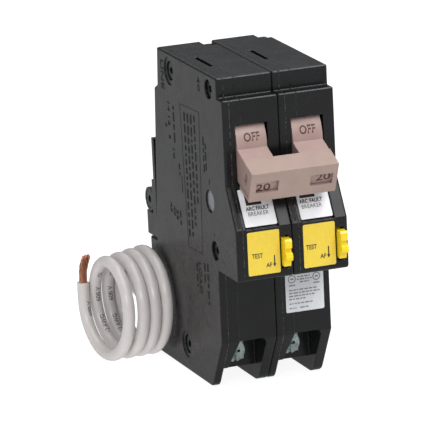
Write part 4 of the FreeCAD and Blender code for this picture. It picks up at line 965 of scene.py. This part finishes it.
COIL_MIDDLE_RUN, COIL_MIDDLE_HEIGHT = 9.0, 17.5
PRINT_PITCH = 4.4
TURN_LENGTH = 2 * math.pi * (FIRST_RADIUS + LAST_RADIUS) / 2
wire_shapes = []
coil_middle = np.array(COIL_START + COIL_MIDDLE_RUN * COIL_AXIS + Vector((0, 0, COIL_MIDDLE_HEIGHT)))
free_length = length_of(np.array([np.array(p) * MM for p in FREE_POINTS])) / MM
lead_run = wire_runs[-1] - free_length - LAST_STEP / STEPS_PER_TURN * TURN_LENGTH
for turn in (1.86, 2.86):
    middle = coil_middle + (turn - 2.0) * PRINT_PITCH * np.array(COIL_AXIS)
    place = wire_place(lead_run + turn * TURN_LENGTH, middle)
    for text, along, width in (("12 AWG", 0.0, 7.5), ("600 V", 12.0, 6.0), ("CU", 21.5, 2.6)):
        wire_shapes += carried(place, [round_words(text, (along, 0.0), 1.7, width)])
end_place = wire_place(wire_runs[-1] - 9.0, (60.0, -60.0, 20.0))
wire_shapes += carried(end_place, [round_words("600 V", (0.0, 0.5), 1.5, 5.6)])
print_on("wire_print", wire_shapes, "case",
         finished("grey_ink", (0.16, 0.15, 0.165), 0.5, tone=0.4, tone_size=0.5))

# %% [markdown]
# ## Floor and light
# A pale floor runs far behind the object and glows a little, so that it stays evenly white. The
# key light is wide and nearly overhead, a smaller one from the right catches the rounded edges, and
# the others lift the shadows. Dark plastic is seen mostly by what it mirrors, so the floor glows
# less for mirror rays than for the camera. A plain bright floor would wash the black out to grey.

# %% Floor and lights
floor_mesh = bpy.data.meshes.new("floor")
FLOOR_REACH = 9.0
FLOOR_GLOW = (0.92, 0.3)
floor_mesh.from_pydata(
    [(-FLOOR_REACH, -FLOOR_REACH, 0), (FLOOR_REACH, -FLOOR_REACH, 0),
     (FLOOR_REACH, FLOOR_REACH, 0), (-FLOOR_REACH, FLOOR_REACH, 0)],
    [], [(0, 1, 2, 3)],
)
floor = bpy.data.objects.new("floor", floor_mesh)
bpy.context.scene.collection.objects.link(floor)
pale_floor = finish("pale_floor", (0.2, 0.2, 0.2), 0.7, tone=0.01, tone_size=400.0, grain=0.0, specular=0.1)
pale_floor.shader.inputs["Emission Color"].default_value = (1.0, 1.0, 1.0, 1.0)
mirrored = pale_floor.add("ShaderNodeLightPath").outputs["Is Glossy Ray"]
pale_floor.drive("Emission Strength", pale_floor.spread(mirrored, 0.0, 1.0, *FLOOR_GLOW))
floor_mesh.materials.append(pale_floor.material)


def soft_light(name, spot, aim, size, power):
    """A square area light at spot that faces aim."""
    data = bpy.data.lights.new(name, "AREA")
    data.shape = "SQUARE"
    data.size = size
    data.energy = power
    light = bpy.data.objects.new(name, data)
    bpy.context.scene.collection.objects.link(light)
    way = Vector(aim) - Vector(spot)
    light.matrix_world = Matrix.Translation(spot) @ way.to_track_quat("-Z", "Y").to_matrix().to_4x4()


soft_light("key", (0.1, -0.2, 1.9), (0, 0.0, 0.0), 1.9, 30.0)
soft_light("edge", (0.62, -0.5, 1.6), (0, 0, 0.05), 0.6, 9.0)
soft_light("fill", (0.6, -1.25, 1.2), (0, 0, 0.05), 0.9, 9.0)
soft_light("front", (-0.9, -1.3, 0.9), (0, 0, 0.05), 0.5, 8.0)
soft_light("back", (0.4, 1.6, 1.3), (0, 0.3, 0.0), 1.0, 3.0)

STUDIO_TINT = (0.95, 0.97, 1.0, 1.0)
STUDIO_STRENGTH = 0.14
world = bpy.data.worlds.new("studio")
world.use_nodes = True
world.node_tree.nodes["Background"].inputs["Color"].default_value = STUDIO_TINT
world.node_tree.nodes["Background"].inputs["Strength"].default_value = STUDIO_STRENGTH
bpy.context.scene.world = world
bpy.context.scene.view_settings.view_transform = "Standard"

# %% Update the view layer
bpy.context.view_layer.update()
